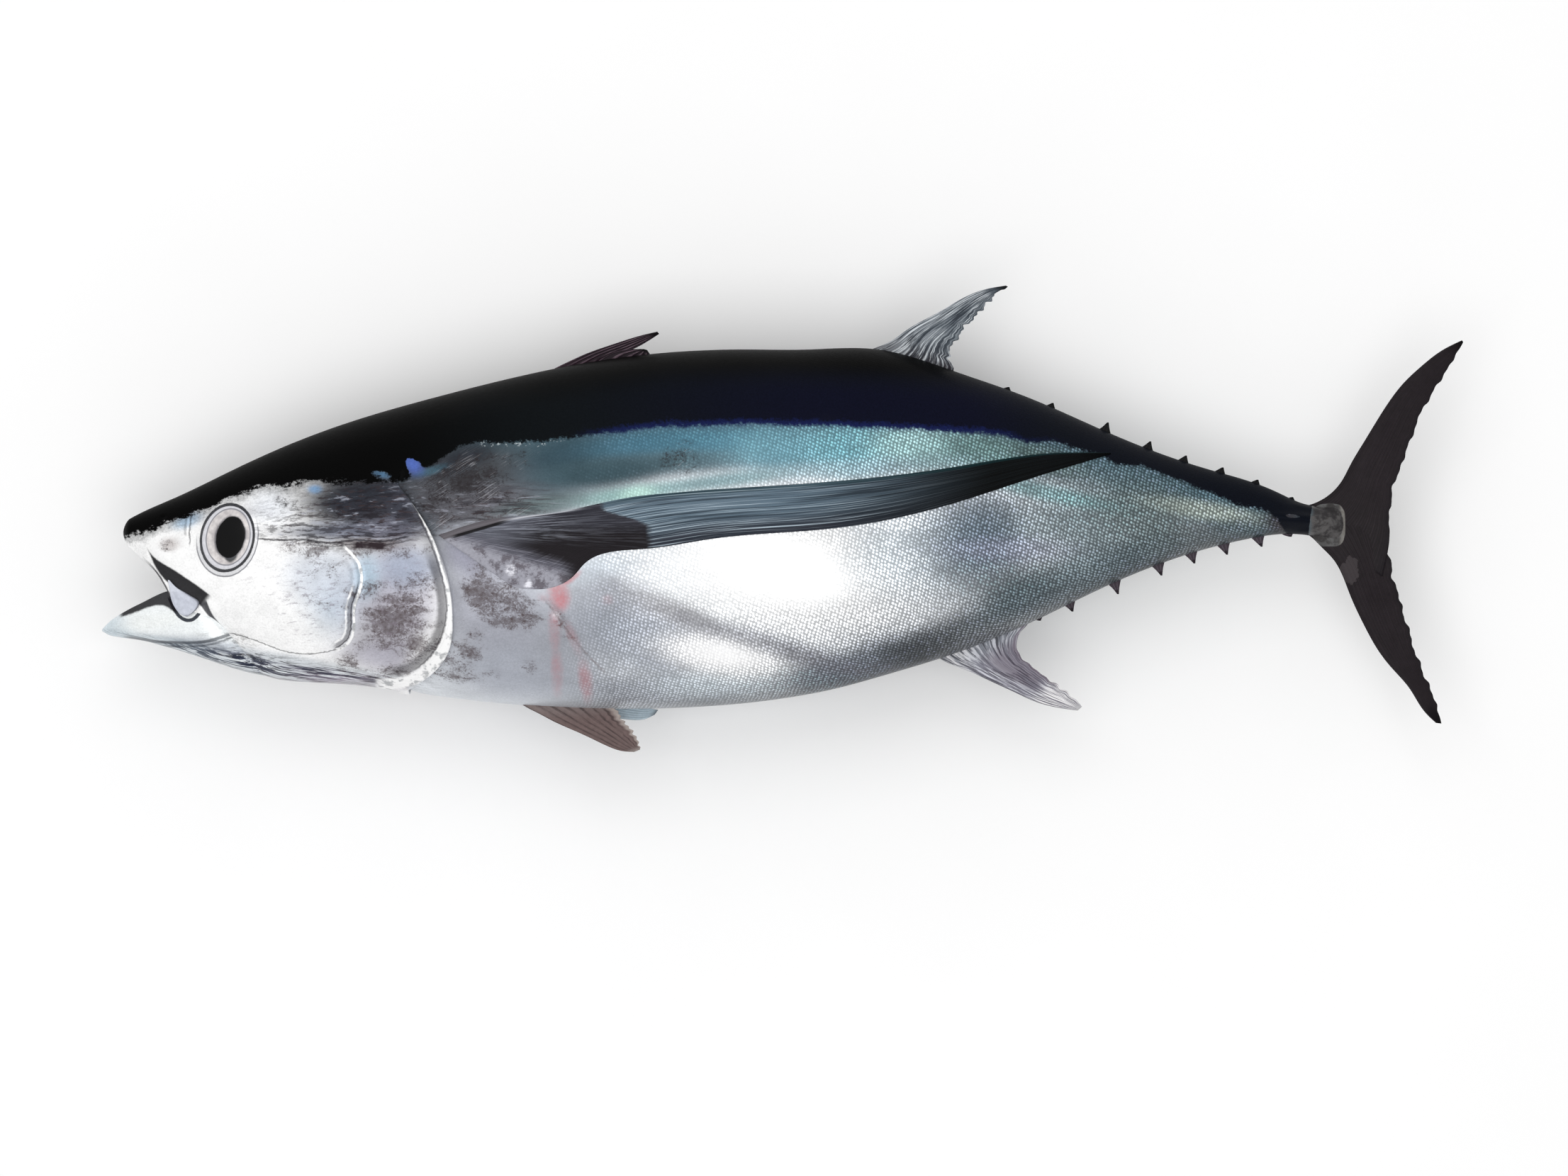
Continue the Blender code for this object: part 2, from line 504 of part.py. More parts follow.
def build_fins():
    """Every blade that the union fuses to the trunk."""
    fins = [
        blade("tail_upper", TAIL_UPPER, TAIL_THICK, in_middle, rows=16, columns=6),
        blade("tail_lower", TAIL_LOWER, TAIL_THICK, in_middle, rows=16, columns=6),
        blade("second_dorsal", SECOND_DORSAL, DORSAL_THICK, in_middle, rows=13),
        blade("first_dorsal_spines", FIRST_DORSAL_SPINES, SPINE_THICK, in_middle, rows=10, columns=4),
        blade("first_dorsal_web", FIRST_DORSAL_WEB, WEB_THICK, in_middle, rows=6, columns=4),
        blade("anal", ANAL, ANAL_THICK, in_middle, rows=13),
        blade("left_pelvic", LEFT_PELVIC, PELVIC_THICK, beside_middle(1, PELVIC_SPREAD)),
        blade("right_pelvic", RIGHT_PELVIC, PELVIC_THICK, beside_middle(-1, 0), rows=8, columns=4),
    ]
    for side in (1, -1):
        fins.append(
            blade("pectoral", PECTORAL, PECTORAL_THICK, on_flank(side, PECTORAL_SUNK), FLANK_RIM, rows=26)
        )
        fins.append(blade("maxilla", MAXILLA, MAXILLA_THICK, on_flank(side, MAXILLA_SUNK), FLANK_RIM, rows=8))
    for tips, outline, way in ((UPPER_FINLETS, back, 1), (LOWER_FINLETS, belly, -1)):
        fins += [finlet(f"finlet_{i}", tip, outline, way) for i, tip in enumerate(tips)]
    return fins


def build():
    for old in list(bpy.data.objects):
        bpy.data.objects.remove(old)
    fish = loft("fish", trunk_ring, stations(TRUNK_STATIONS), TRUNK_SIDES)
    jaw = loft("jaw", jaw_ring, stations(JAW_STATIONS), JAW_SIDES)
    boolean(fish, [jaw, *build_fins()], "UNION")
    boolean(fish, [eye("socket", side, EYE_GAP) for side in (1, -1)], "DIFFERENCE")
    press_flat(fish, FLAT - WIDTH / 2)
    eyes = [eye(name, side, 0) for name, side in (("left_eye", 1), ("right_eye", -1))]
    finish_material("fish_skin", SKIN_COLOUR, SKIN_ROUGHNESS, SKIN_METALLIC, fish)
    finish_material("eye", EYE_COLOUR, EYE_ROUGHNESS, EYE_METALLIC, *eyes)
    centre_on_base([fish, *eyes])


build()
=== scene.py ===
"""Looks of a whole raw long-finned tuna that lies on its right side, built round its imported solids.

Shapes are laid out as in the part's source, but in millimetres: x from the tip of the lower jaw towards the
tail, y from the long axis towards the back, z from the middle plane out of the left flank. TO_FRAME moves
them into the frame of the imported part. Markings are placed by where they show from straight above.
"""

import math

import bpy
import numpy as np
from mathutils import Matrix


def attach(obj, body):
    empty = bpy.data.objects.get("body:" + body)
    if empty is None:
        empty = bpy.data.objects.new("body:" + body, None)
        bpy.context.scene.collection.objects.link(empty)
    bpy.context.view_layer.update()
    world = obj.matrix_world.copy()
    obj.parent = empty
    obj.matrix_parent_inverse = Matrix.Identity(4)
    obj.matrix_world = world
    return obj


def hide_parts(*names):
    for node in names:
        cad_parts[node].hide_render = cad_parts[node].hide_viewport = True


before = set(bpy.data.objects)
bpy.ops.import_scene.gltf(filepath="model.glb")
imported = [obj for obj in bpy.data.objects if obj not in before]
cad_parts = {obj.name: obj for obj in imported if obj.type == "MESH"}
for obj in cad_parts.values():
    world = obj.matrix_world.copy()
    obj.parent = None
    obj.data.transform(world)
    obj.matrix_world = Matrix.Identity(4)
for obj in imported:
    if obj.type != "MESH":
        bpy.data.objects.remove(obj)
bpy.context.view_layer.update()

# Driving dimensions, as in the part's source.
LENGTH, DEPTH, WIDTH = 960.0, 250.0, 156.0
TO_FRAME = np.array([-480.0, -10.176, 75.0])
FLOOR_LEVEL = -75.0  # z of the surface that the fish lies on

BACK = (
    (0.0156, 0.030), (0.0250, 0.050), (0.0521, 0.097), (0.1021, 0.189), (0.1646, 0.290),
    (0.2479, 0.386), (0.3344, 0.465), (0.4250, 0.512), (0.4688, 0.518), (0.5208, 0.518), (0.5677, 0.519),
    (0.6281, 0.454), (0.6781, 0.386), (0.7500, 0.266), (0.8146, 0.178), (0.8625, 0.117),
    (0.8854, 0.080), (0.9146, 0.090),
)
BELLY = (
    (0.0156, -0.024), (0.0250, -0.054), (0.0313, -0.076), (0.0417, -0.116), (0.0500, -0.168),
    (0.0656, -0.264), (0.0938, -0.346), (0.1198, -0.402), (0.1438, -0.419), (0.1854, -0.428),
    (0.2271, -0.449), (0.3104, -0.486), (0.4063, -0.495), (0.4479, -0.488), (0.4771, -0.478),
    (0.5396, -0.438), (0.5813, -0.394), (0.6188, -0.350), (0.6771, -0.262), (0.7333, -0.158),
    (0.7906, -0.069), (0.8427, -0.016), (0.8854, -0.006), (0.9146, -0.040),
)
HALF_WIDTH = (
    (0.0156, 0.045), (0.0313, 0.112), (0.0573, 0.184), (0.0948, 0.265), (0.1458, 0.352),
    (0.2083, 0.425), (0.2813, 0.472), (0.3646, 0.496), (0.4375, 0.500), (0.5208, 0.482),
    (0.6042, 0.426), (0.6875, 0.334), (0.7604, 0.236), (0.8229, 0.158), (0.8646, 0.124),
    (0.8854, 0.112), (0.9146, 0.040),
)
WIDEST_LEVEL = (
    (0.0156, 0.000), (0.0948, -0.040), (0.2083, -0.040), (0.4167, 0.020), (0.6250, 0.040),
    (0.8333, 0.048), (0.8854, 0.034), (0.9146, 0.024),
)
UPPER_ROUND = ((0.0156, 2.00), (0.2500, 2.05), (0.6250, 2.10), (0.8125, 1.70), (0.9146, 1.50))
LOWER_ROUND = (
    (0.0156, 2.00), (0.1042, 2.40), (0.3125, 2.20), (0.6250, 2.05), (0.8125, 1.70), (0.9146, 1.50),
)
JAW_TOP = (
    (0.0000, -0.266), (0.0083, -0.245), (0.0208, -0.217), (0.0318, -0.196), (0.0391, -0.182),
    (0.0500, -0.166), (0.0729, -0.176), (0.1042, -0.248), (0.1354, -0.320),
)
JAW_UNDER = (
    (0.0000, -0.284), (0.0104, -0.293), (0.0313, -0.306), (0.0573, -0.332), (0.0813, -0.362),
    (0.1021, -0.388), (0.1354, -0.412),
)
JAW_HALF_WIDTH = (
    (0.0000, 0.030), (0.0156, 0.080), (0.0313, 0.116), (0.0573, 0.160), (0.0885, 0.200),
    (0.1042, 0.170), (0.1354, 0.070),
)
JAW_ROUND, JAW_END = 2.3, 128.0
LIP_SHARE, LIP_WIDTH, MOUTH_ARCH = 0.80, 0.78, 0.105
MOUTH_DEEPEST, MOUTH_END = 48.0, 82.6
SNOUT_X, SNOUT_ROUNDING, JAW_ROUNDING = 15.0, 4.8, 6.7
GILL_X, GILL_LEVEL, GILL_TOP, GILL_FOOT = 249.5, -60.0, 32.0, -109.0
GILL_TOP_BACK, GILL_TOP_POWER, GILL_FOOT_BACK, GILL_FOOT_POWER = 37.5, 2.1, 32.6, 3.0
GILL_WARP_FROM, GILL_WARP_TO = 115.0, 345.0

# The rim of the gill cover and the slit under it: along the body where there is no slit, along the
# body where there is one, and height over the skin.
GILL_FOLD = (
    (-8.0, -8.0, 1.91), (-6.2, -5.0, 2.10), (-4.6, -2.6, 2.35), (-3.4, -1.2, 2.35), (-2.4, -0.3, 2.10),
    (-1.6, 0.2, 1.70), (-0.8, 0.3, 1.20), (0.0, 0.0, 0.70), (0.8, -0.8, 0.30), (1.6, -2.0, -0.20),
    (2.4, -3.0, -0.90), (3.3, -2.2, -1.60), (4.2, -0.6, -1.90), (5.2, 1.2, -1.70), (6.6, 3.2, -1.10),
    (8.6, 6.0, -0.50), (11.0, 9.5, -0.15), (14.0, 14.0, 0.00),
)
DEEPEST_FOLD = 10  # where the head's skin ends and the trunk's begins

# How finely the skin is divided: sides round the body, rows along it.
HEAD_SIDES, TRUNK_SIDES, JAW_SIDES = 380, 320, 120
SNOUT_ROWS, HEAD_ROWS, JAW_TIP_ROWS, JAW_ROWS = 9, 168, 10, 92
TRUNK_ROWS = ((345.0, 38), (800.0, 176), (866.0, 42), (878.0, 12))  # (x where a stretch ends, its rows)
TAIL_TAPER_FROM, TAIL_TAPER_TO, TAIL_THIN = 862.0, 878.5, 0.12

# Eye: the solid's place and half axes, and its lean.
EYE_X, EYE_Y, EYE_HALF_LENGTH, EYE_HALF_HEIGHT = 91.0, -3.5, 17.95, 22.56
EYE_LEAN = math.radians(12)
EYE_BULGE, EYE_SEAT = 3.0, 8.0
EYE_RINGS, EYE_CUP_RINGS, EYE_SPOKES = 26, 8, 72

# Where the picture was taken from.
SEEN_FROM = (481.0, -38.75, 6144.0)
VIEW_LENS, SENSOR = 200.0, 36.0


def spline(knots, across=1.0, up=1.0):
    """A natural cubic spline through the knots, as a function of arrays."""
    x, y = np.array(knots, float).T * np.array([[across], [up]])
    step = np.diff(x)
    slope = np.diff(y) / step
    system, bends = np.eye(len(x)), np.zeros(len(x))
    for i in range(1, len(x) - 1):
        system[i, i - 1 : i + 2] = step[i - 1], 2 * (step[i - 1] + step[i]), step[i]
        bends[i] = 6 * (slope[i] - slope[i - 1])
    second = np.linalg.solve(system, bends)

    def at(t):
        t = np.clip(t, x[0], x[-1])
        i = np.clip(np.searchsorted(x, t) - 1, 0, len(x) - 2)
        low, high = (x[i + 1] - t) / step[i], (t - x[i]) / step[i]
        bend = (low**3 - low) * second[i] + (high**3 - high) * second[i + 1]
        return low * y[i] + high * y[i + 1] + bend * step[i] ** 2 / 6

    return at


def curve(points, scale=1.0):
    """A smooth curve through points as a function of the share of its length."""
    points = np.array(points, float) * scale
    along = np.concatenate([[0], np.cumsum(np.linalg.norm(np.diff(points, axis=0), axis=1))])
    share = along / along[-1]
    x, y = (spline(np.stack([share, points[:, k]], axis=1)) for k in (0, 1))
    return lambda t: stacked(x(t), y(t))


def smoothstep(value, low, high):
    """0 up to low, 1 from high on, smooth between them."""
    t = np.clip((value - low) / (high - low), 0, 1)
    return t * t * (3 - 2 * t)


def falling(value, low, high):
    """1 up to low, 0 from high on, smooth between them."""
    return 1 - smoothstep(value, low, high)


def hump(value, centre, reach):
    """1 at the centre, fading to 0 on both sides of it."""
    return np.exp(-(((value - centre) / reach) ** 2))


def stacked(*values):
    """Several numbers for each place, as one array."""
    return np.stack(values, axis=-1)


def ripple(x, y, wave, seed=0):
    """Smooth irregular ups and downs between about -1 and 1, with bumps of about the size wave."""
    total = 0
    for k in range(6):
        turn = 2.399 * k + seed
        step = 2 * math.pi / (wave * (1.7 - 0.2 * k))
        total = total + np.sin(step * (x * math.cos(turn) + y * math.sin(turn)) + 1.7 * k * k + 3 * seed)
    return total / 3.2


back, belly = spline(BACK, LENGTH, DEPTH), spline(BELLY, LENGTH, DEPTH)
half_width, level = spline(HALF_WIDTH, LENGTH, WIDTH), spline(WIDEST_LEVEL, LENGTH, DEPTH)
upper_round, lower_round = spline(UPPER_ROUND, LENGTH), spline(LOWER_ROUND, LENGTH)
jaw_top, jaw_under = spline(JAW_TOP, LENGTH, DEPTH), spline(JAW_UNDER, LENGTH, DEPTH)
jaw_half_width = spline(JAW_HALF_WIDTH, LENGTH, WIDTH)


def tip_share(x, start, reach):
    """How much of its full size a rounded tip has at x."""
    t = np.clip((x - start) / reach, 0, 1)
    return np.sqrt(1 - (1 - t) ** 2)


def mouth_share(x):
    """1 where the mouth is open, 0 behind its end."""
    return falling(x, MOUTH_DEEPEST, MOUTH_END)


def half_section(q, high, middle, low, wide, upper, lower, opened):
    """(height, half width) round a section, at shares q from its top (0) to its bottom (1)."""
    turn = np.pi * q
    over, side = np.abs(np.cos(turn)), np.abs(np.sin(turn))
    power = np.where(q < 0.5, 2 / upper, 2 / lower)
    reach = np.where(q < 0.5, high - middle, middle - low)
    height = middle + np.sign(np.cos(turn)) * reach * over**power
    width = wide * side**power
    down = np.clip((q - 0.5) / (LIP_SHARE - 0.5), 0, 1) * np.pi / 2
    inward = np.clip((q - LIP_SHARE) / (1 - LIP_SHARE), 0, 1) * np.pi / 2
    lip = LIP_WIDTH * wide
    arch = MOUTH_ARCH * DEPTH * wide / (WIDTH * 0.2)
    open_height = middle - (middle - low) * np.sin(down) ** (2 / lower) + arch * np.sin(inward)
    open_width = (lip + (wide - lip) * np.cos(down) ** (2 / lower)) * np.cos(inward)
    opened = np.where(q > 0.5, opened, 0)
    return height + opened * (open_height - height), width + opened * (open_width - width)


def gill_edge(y):
    """x of the edge of the gill cover at height y."""
    above = np.clip((y - GILL_LEVEL) / (GILL_TOP - GILL_LEVEL), 0, 1)
    below = np.clip((y - GILL_LEVEL) / (GILL_FOOT - GILL_LEVEL), 0, 1)
    return GILL_X - GILL_TOP_BACK * above**GILL_TOP_POWER - GILL_FOOT_BACK * below**GILL_FOOT_POWER


def has_gill(y):
    """1 beside the gill slit, 0 over the nape."""
    return falling(y, GILL_TOP - 5, GILL_TOP + 15)


def seen(x, y, z):
    """(x, y) where a point shows from straight above, at the scale of the middle plane."""
    grow = SEEN_FROM[2] / (SEEN_FROM[2] - np.abs(z))
    return SEEN_FROM[0] + (x - SEEN_FROM[0]) * grow, SEEN_FROM[1] + (y - SEEN_FROM[1]) * grow


def beside(points, x, y, fade=4.0):
    """(distance, share, mask) of places from a curve.

    The distance is positive on the curve's left. The mask is 1 beside it and 0 from fade beyond its ends.
    """
    share = np.linspace(0, 1, 90)
    path = curve(points)(share)
    ahead = np.gradient(path, axis=0)
    ahead /= np.linalg.norm(ahead, axis=1, keepdims=True)
    shape, x, y = np.shape(x), np.ravel(x), np.ravel(y)
    near = np.zeros(x.shape, int)
    best = np.full(x.shape, 1e9)
    for k, (px, py) in enumerate(path):
        away = (x - px) ** 2 + (y - py) ** 2
        near = np.where(away < best, k, near)
        best = np.minimum(best, away)
    dx, dy = x - path[near, 0], y - path[near, 1]
    offset = ahead[near, 0] * dy - ahead[near, 1] * dx
    along = ahead[near, 0] * dx + ahead[near, 1] * dy
    beyond = np.where(near == 0, -along, np.where(near == len(path) - 1, along, 0))
    mask = falling(beyond, 0, fade)
    return offset.reshape(shape), share[near].reshape(shape), mask.reshape(shape)


# Lines on the head, as they show from above.
PREOPERCLE = (
    (172.0, -11.5), (179.5, -20.0), (182.5, -30.0), (181.0, -41.0), (177.5, -52.0), (177.0, -66.0),
    (174.0, -76.0), (167.0, -81.5),
)
CHEEK_FOOT = ((93.0, -71.0), (105.0, -74.5), (128.0, -83.0), (149.5, -85.0), (167.0, -81.5))
JAW_FOOT = ((3.0, -70.5), (34.0, -76.5), (54.5, -77.8), (75.0, -76.5), (92.0, -71.0))
BEHIND_EYE = (
    (112.0, -4.0), (130.0, -5.0), (146.0, -5.0), (160.0, -7.0), (178.0, -5.0), (195.0, -6.0),
    (214.0, -3.0),
)
LIP_GROOVE = ((31.0, -9.0), (35.5, -17.0), (44.0, -26.5), (53.0, -33.5), (62.0, -39.5), (71.5, -46.5))
LIP_EDGE = ((20.0, -9.5), (31.0, -19.5), (38.5, -28.0), (44.0, -36.5), (47.5, -43.5))
MOUTH_CREASE = ((72.0, -50.0), (76.0, -57.0), (81.0, -62.5), (87.0, -67.5))
NOSTRIL = ((63.0, 12.0), (62.0, 4.0), (62.0, -6.0))
INNER_GILL = (
    (210.0, 38.0), (223.0, 15.0), (233.0, -5.5), (240.5, -28.5), (244.0, -44.0), (243.0, -66.0),
    (234.0, -86.0), (218.0, -99.0), (195.0, -102.5),
)
# Lines on the trunk.
BELLY_FOLD = (
    (360.0, -36.0), (382.0, -47.0), (409.0, -58.0), (440.0, -68.5), (477.5, -80.0), (513.0, -91.5),
    (548.0, -95.0),
)
AXIL_SEAM = ((306.0, -41.0), (313.0, -48.0), (319.5, -56.0), (330.5, -72.0), (346.5, -90.0))


def eye_place(x, y):
    """(across, up) in the eye's own leaning frame as shares of its half axes."""
    dx, dy = x - EYE_X, y - EYE_Y
    across = dx * math.cos(EYE_LEAN) - dy * math.sin(EYE_LEAN)
    up = dx * math.sin(EYE_LEAN) + dy * math.cos(EYE_LEAN)
    return across / EYE_HALF_LENGTH, up / EYE_HALF_HEIGHT


def head_relief(x, y, z):
    """How far the skin of the head stands out over the plain section, in millimetres."""
    sx, sy = seen(x, y, z)
    ahead = gill_edge(y) - x
    lift = 1.6 * falling(ahead, 12, 75) + 0.45 * hump(ahead, 5, 5)
    lift = lift * has_gill(y)
    low = falling(sy, -40, -15)
    offset, _, mask = beside(INNER_GILL, sx, sy)
    lift = lift + mask * (0.35 * hump(offset, 0, 1.2) - 0.75 * low * hump(offset, -4.5, 3.0))
    offset, share, mask = beside(PREOPERCLE, sx, sy)
    ridge = 1.0 * hump(offset, 0.5, 1.3) + 0.5 * hump(offset, -5.0, 1.2)
    lift = lift + mask * (ridge - 0.9 * smoothstep(share, 0.3, 0.6) * hump(offset, -2.4, 1.3))
    lift = lift + mask * 0.6 * smoothstep(-offset, -1, 14) * falling(-offset, 14, 60)
    offset, _, mask = beside(CHEEK_FOOT, sx, sy)
    swell = 0.4 * smoothstep(offset, 0, 3) * falling(offset, 3, 25)
    lift = lift + mask * (swell - 0.35 * hump(offset, 0, 1.0))
    offset, share, mask = beside(LIP_GROOVE, sx, sy, 3)
    wide = 1.5 + 3.8 * smoothstep(share, 0, 0.6)
    lift = lift - mask * 1.7 * smoothstep(share, 0, 0.2) * hump(offset, 0, wide)
    offset, share, mask = beside(MOUTH_CREASE, sx, sy, 3)
    crease = 1.2 * (1 - 0.7 * share) * hump(offset, 0, 1.6)
    lift = lift + mask * (0.5 * hump(offset, 3.5, 2.5) - crease)
    offset, share, mask = beside(NOSTRIL, sx, sy, 2)
    lift = lift - mask * 0.7 * hump(offset, 0, 0.9) * np.sin(np.pi * share) ** 2
    lift = lift - 0.9 * hump(np.hypot(sx - 43.5, sy - 11.5), 0, 1.3)
    offset, _, mask = beside(BEHIND_EYE, sx, sy)
    lift = lift - mask * 0.35 * hump(offset, 0, 1.4)
    across, up = eye_place(x, y)
    out = np.hypot(across, up)
    lid = 0.9 * hump(out, 1.05, 0.06) + 0.5 * hump(out, 1.2, 0.05) * falling(up, -0.1, 0.5)
    socket = -3.2 * falling(out, 0.86, 1.0)
    lift = lift + lid + socket
    throat = falling(sy, -88, -78) * smoothstep(sx, 50, 80) * falling(sx, 205, 225)
    throat = throat * smoothstep(np.abs(z) / half_width(x), 0.35, 0.65)
    grooves = np.sin((sy - 0.06 * sx) / 2.1 + 0.6 * ripple(sx, sy, 60))
    lift = lift + throat * 0.35 * grooves * (0.6 + 0.4 * ripple(sx, sy, 40, 2))
    return lift + 0.12 * ripple(x, y, 26, 1)


def trunk_relief(x, y, z):
    """How far the skin of the trunk stands out over the plain section, in millimetres."""
    sx, sy = seen(x, y, z)
    offset, share, mask = beside(BELLY_FOLD, sx, sy, 30)
    strong = mask * smoothstep(share, 0, 0.2) * (1 - 0.4 * share)
    lift = strong * (0.4 * hump(offset, 10, 8) - 0.6 * hump(offset, 0, 7.5) + 0.3 * hump(offset, -12, 9))
    offset, share, mask = beside(AXIL_SEAM, sx, sy, 12)
    seam = 0.45 * hump(offset, 4, 3) - 0.7 * hump(offset, 0, 1.8)
    lift = lift + mask * smoothstep(share, 0.05, 0.3) * seam
    keel = smoothstep(x, 770, 835) * falling(x, 858, 872)
    lift = lift + keel * 2.2 * hump(y, level(x) + 1.0, 3.2)
    closing = 0.12 * (x - 850)
    side_keels = hump(y, level(x) + 9.0 - closing, 1.8) + hump(y, level(x) - 7.5 + closing, 1.8)
    lift = lift + smoothstep(x, 836, 846) * falling(x, 864, 874) * 0.8 * side_keels
    return lift + 0.3 * ripple(x, y, 60, 3) * smoothstep(x, 262, 330) + 0.1 * ripple(x, y, 22, 4)


def skin_height(x, y):
    """How far the left flank stands from the middle plane at (x, y)."""
    middle = level(x)
    above = y > middle
    reach = np.where(above, back(x) - middle, middle - belly(x))
    power = np.where(above, upper_round(x), lower_round(x))
    share = np.clip(np.abs(y - middle) / reach, 0, 0.995)
    return half_width(x) * (1 - share**power) ** (1 / power)


def skin_grid(station, q, relief, lift=None, fold=0.0):
    """(x, y, z) over the left half of the body's skin. Rows are stations, columns are shares q from back to
    belly. Where fold is 1 the height over the plain section is lift, elsewhere it is what relief gives."""
    q = np.broadcast_to(q, station.shape)
    bend = smoothstep(station, GILL_WARP_FROM, GILL_X) * falling(station, GILL_X, GILL_WARP_TO)
    x = station.copy()
    for _ in range(7):
        tip = tip_share(x, SNOUT_X, SNOUT_ROUNDING)
        middle = level(x)
        high, low = (middle + (end(x) - middle) * tip for end in (back, belly))
        rounds = upper_round(x), lower_round(x)
        y, z = half_section(q, high, middle, low, half_width(x) * tip, *rounds, mouth_share(x))
        x = station + bend * (gill_edge(y) - GILL_X)
    out_y, out_z = (y - middle) / (back(x) - belly(x)) ** 2, z / (2 * half_width(x)) ** 2
    size = np.maximum(np.hypot(out_y, out_z), 1e-9)
    out_y, out_z = out_y / size, out_z / size
    rise = relief(x, y, z) * np.sqrt(np.abs(np.sin(np.pi * q)))
    if lift is not None:
        rise = rise * (1 - fold) + fold * lift
    inside = np.clip((q - LIP_SHARE) / 0.02, 0, 1) * mouth_share(x)
    rise = rise * (1 - inside)
    y, z = y + rise * out_y, z + rise * out_z
    z[:, [0, -1]] = 0
    return x, y, z


def linear(red, green, blue):
    """Linear light from the usual 0 to 255 screen values."""
    value = np.array([red, green, blue], float) / 255
    return np.where(value <= 0.04045, value / 12.92, ((value + 0.055) / 1.055) ** 2.4)


# Soft patches of colour over the silver ground: (x, y, half length, half height, lean in degrees, colour,
# strength). They lie one over the other in this order.
TRUNK_PATCHES = (
    # The upper flank, from the gill cover to the tail.
    (232, 40, 42, 24, 30, (64, 68, 74), 0.95),
    (262, 22, 62, 26, 8, (92, 92, 98), 1.0),
    (262, 44, 40, 16, 12, (68, 70, 74), 0.9),
    (254, 52, 24, 9, 25, (42, 46, 54), 0.8),
    (330, 56, 34, 14, 12, (50, 70, 80), 0.95),
    (388, 64, 44, 11, 6, (68, 106, 124), 0.95),
    (352, 42, 46, 10, 6, (56, 74, 81), 0.95),
    (420, 51, 50, 9, 3, (80, 106, 116), 0.9),
    (440, 66, 46, 9, 2, (76, 118, 136), 0.9),
    (478, 58, 36, 18, 0, (104, 146, 160), 0.95),
    (528, 58, 36, 20, 0, (112, 160, 172), 0.95),
    (578, 60, 36, 16, -2, (158, 194, 196), 0.95),
    (626, 58, 34, 13, -8, (112, 142, 142), 0.95),
    (668, 50, 30, 10, -20, (88, 106, 106), 0.9),
    # Painted highlight: this pale mint streak just above the side fin, made brighter by the small patch at x
    # 378 a few rows down.
    (376, 28, 48, 6, 8, (142, 178, 176), 0.9),
    (312, 20, 34, 7, 10, (98, 112, 114), 0.85),
    (360, 44, 60, 9, 5, (56, 76, 84), 0.85),
    (440, 37, 50, 6, 7, (122, 150, 156), 0.95),
    (378, 28, 13, 5, 8, (190, 224, 212), 0.65),
    (536, 46, 60, 7, 4, (146, 170, 180), 0.6),
    # The lower flank.
    (268, -44, 30, 34, 0, (150, 150, 160), 0.9),
    (290, -70, 44, 44, 0, (166, 168, 178), 1.0),
    (300, -98, 60, 20, -6, (168, 172, 182), 0.9),
    (340, -62, 34, 40, -50, (154, 157, 165), 0.9),
    (398, -78, 60, 26, -16, (160, 166, 177), 0.95),
    (378, -112, 60, 12, 0, (150, 154, 162), 0.9),
    (440, -106, 50, 12, 2, (198, 207, 214), 0.9),
    (350, -26, 30, 10, 10, (190, 198, 206), 0.9),
    (372, -46, 34, 14, -20, (158, 161, 170), 0.8),
    # Painted highlight: this white patch and the next two are where the lamp shows in the wet silver of the
    # lower flank, over silver that is pale itself.
    (440, -40, 64, 24, -8, (236, 240, 244), 1.0),
    (438, -86, 48, 15, -8, (252, 252, 253), 1.0),
    (484, -26, 84, 42, -6, (255, 255, 255), 1.0),
    (570, -14, 44, 32, 8, (206, 215, 222), 0.9),
    (622, -4, 44, 40, 10, (86, 100, 112), 0.95),
    # Painted shade: the dark grey-blue patches along the belly's edge from here towards the tail, where the
    # flank turns away from the light.
    (560, -88, 60, 20, 12, (100, 106, 114), 0.95),
    (588, -76, 60, 12, 22, (80, 84, 88), 0.85),
    (520, -100, 44, 12, 8, (116, 124, 134), 0.9),
    (650, -44, 46, 20, 22, (80, 92, 98), 0.95),
    (700, -28, 44, 22, 24, (88, 100, 106), 0.9),
    (690, 8, 46, 34, -10, (112, 126, 131), 0.9),
    (740, -14, 40, 18, 20, (80, 92, 98), 0.9),
    (736, 14, 40, 24, -14, (88, 101, 103), 0.9),
    (782, 15, 44, 7, -10, (146, 156, 150), 0.9),
    (790, -2, 34, 10, 12, (86, 96, 100), 0.8),
    (834, 8, 15, 16, 0, (60, 58, 62), 1.0),
    (866, 7, 15, 18, 0, (84, 83, 84), 1.0),
    (664, 29, 46, 6, -12, (106, 150, 154), 0.6),
    (640, -12, 44, 9, 0, (144, 146, 166), 0.45),
    # Painted shade in the fold across the belly, here and in the next row.
    (408, -57, 36, 9, -24, (140, 138, 142), 0.6),
    (484, -83, 60, 9, -18, (122, 124, 134), 0.6),
    (320, -58, 3, 2, -40, (226, 226, 232), 0.8),
    (254, -15, 20, 13, -35, (136, 136, 150), 0.9),
    (232, 44, 12, 3, 15, (74, 112, 130), 0.6),
    (219, 49, 9, 6, -50, (84, 108, 184), 1.0),
    (306, -28, 8, 5, 0, (240, 240, 244), 0.8),
    (291, -26, 6, 5, 0, (236, 238, 246), 0.7),
)
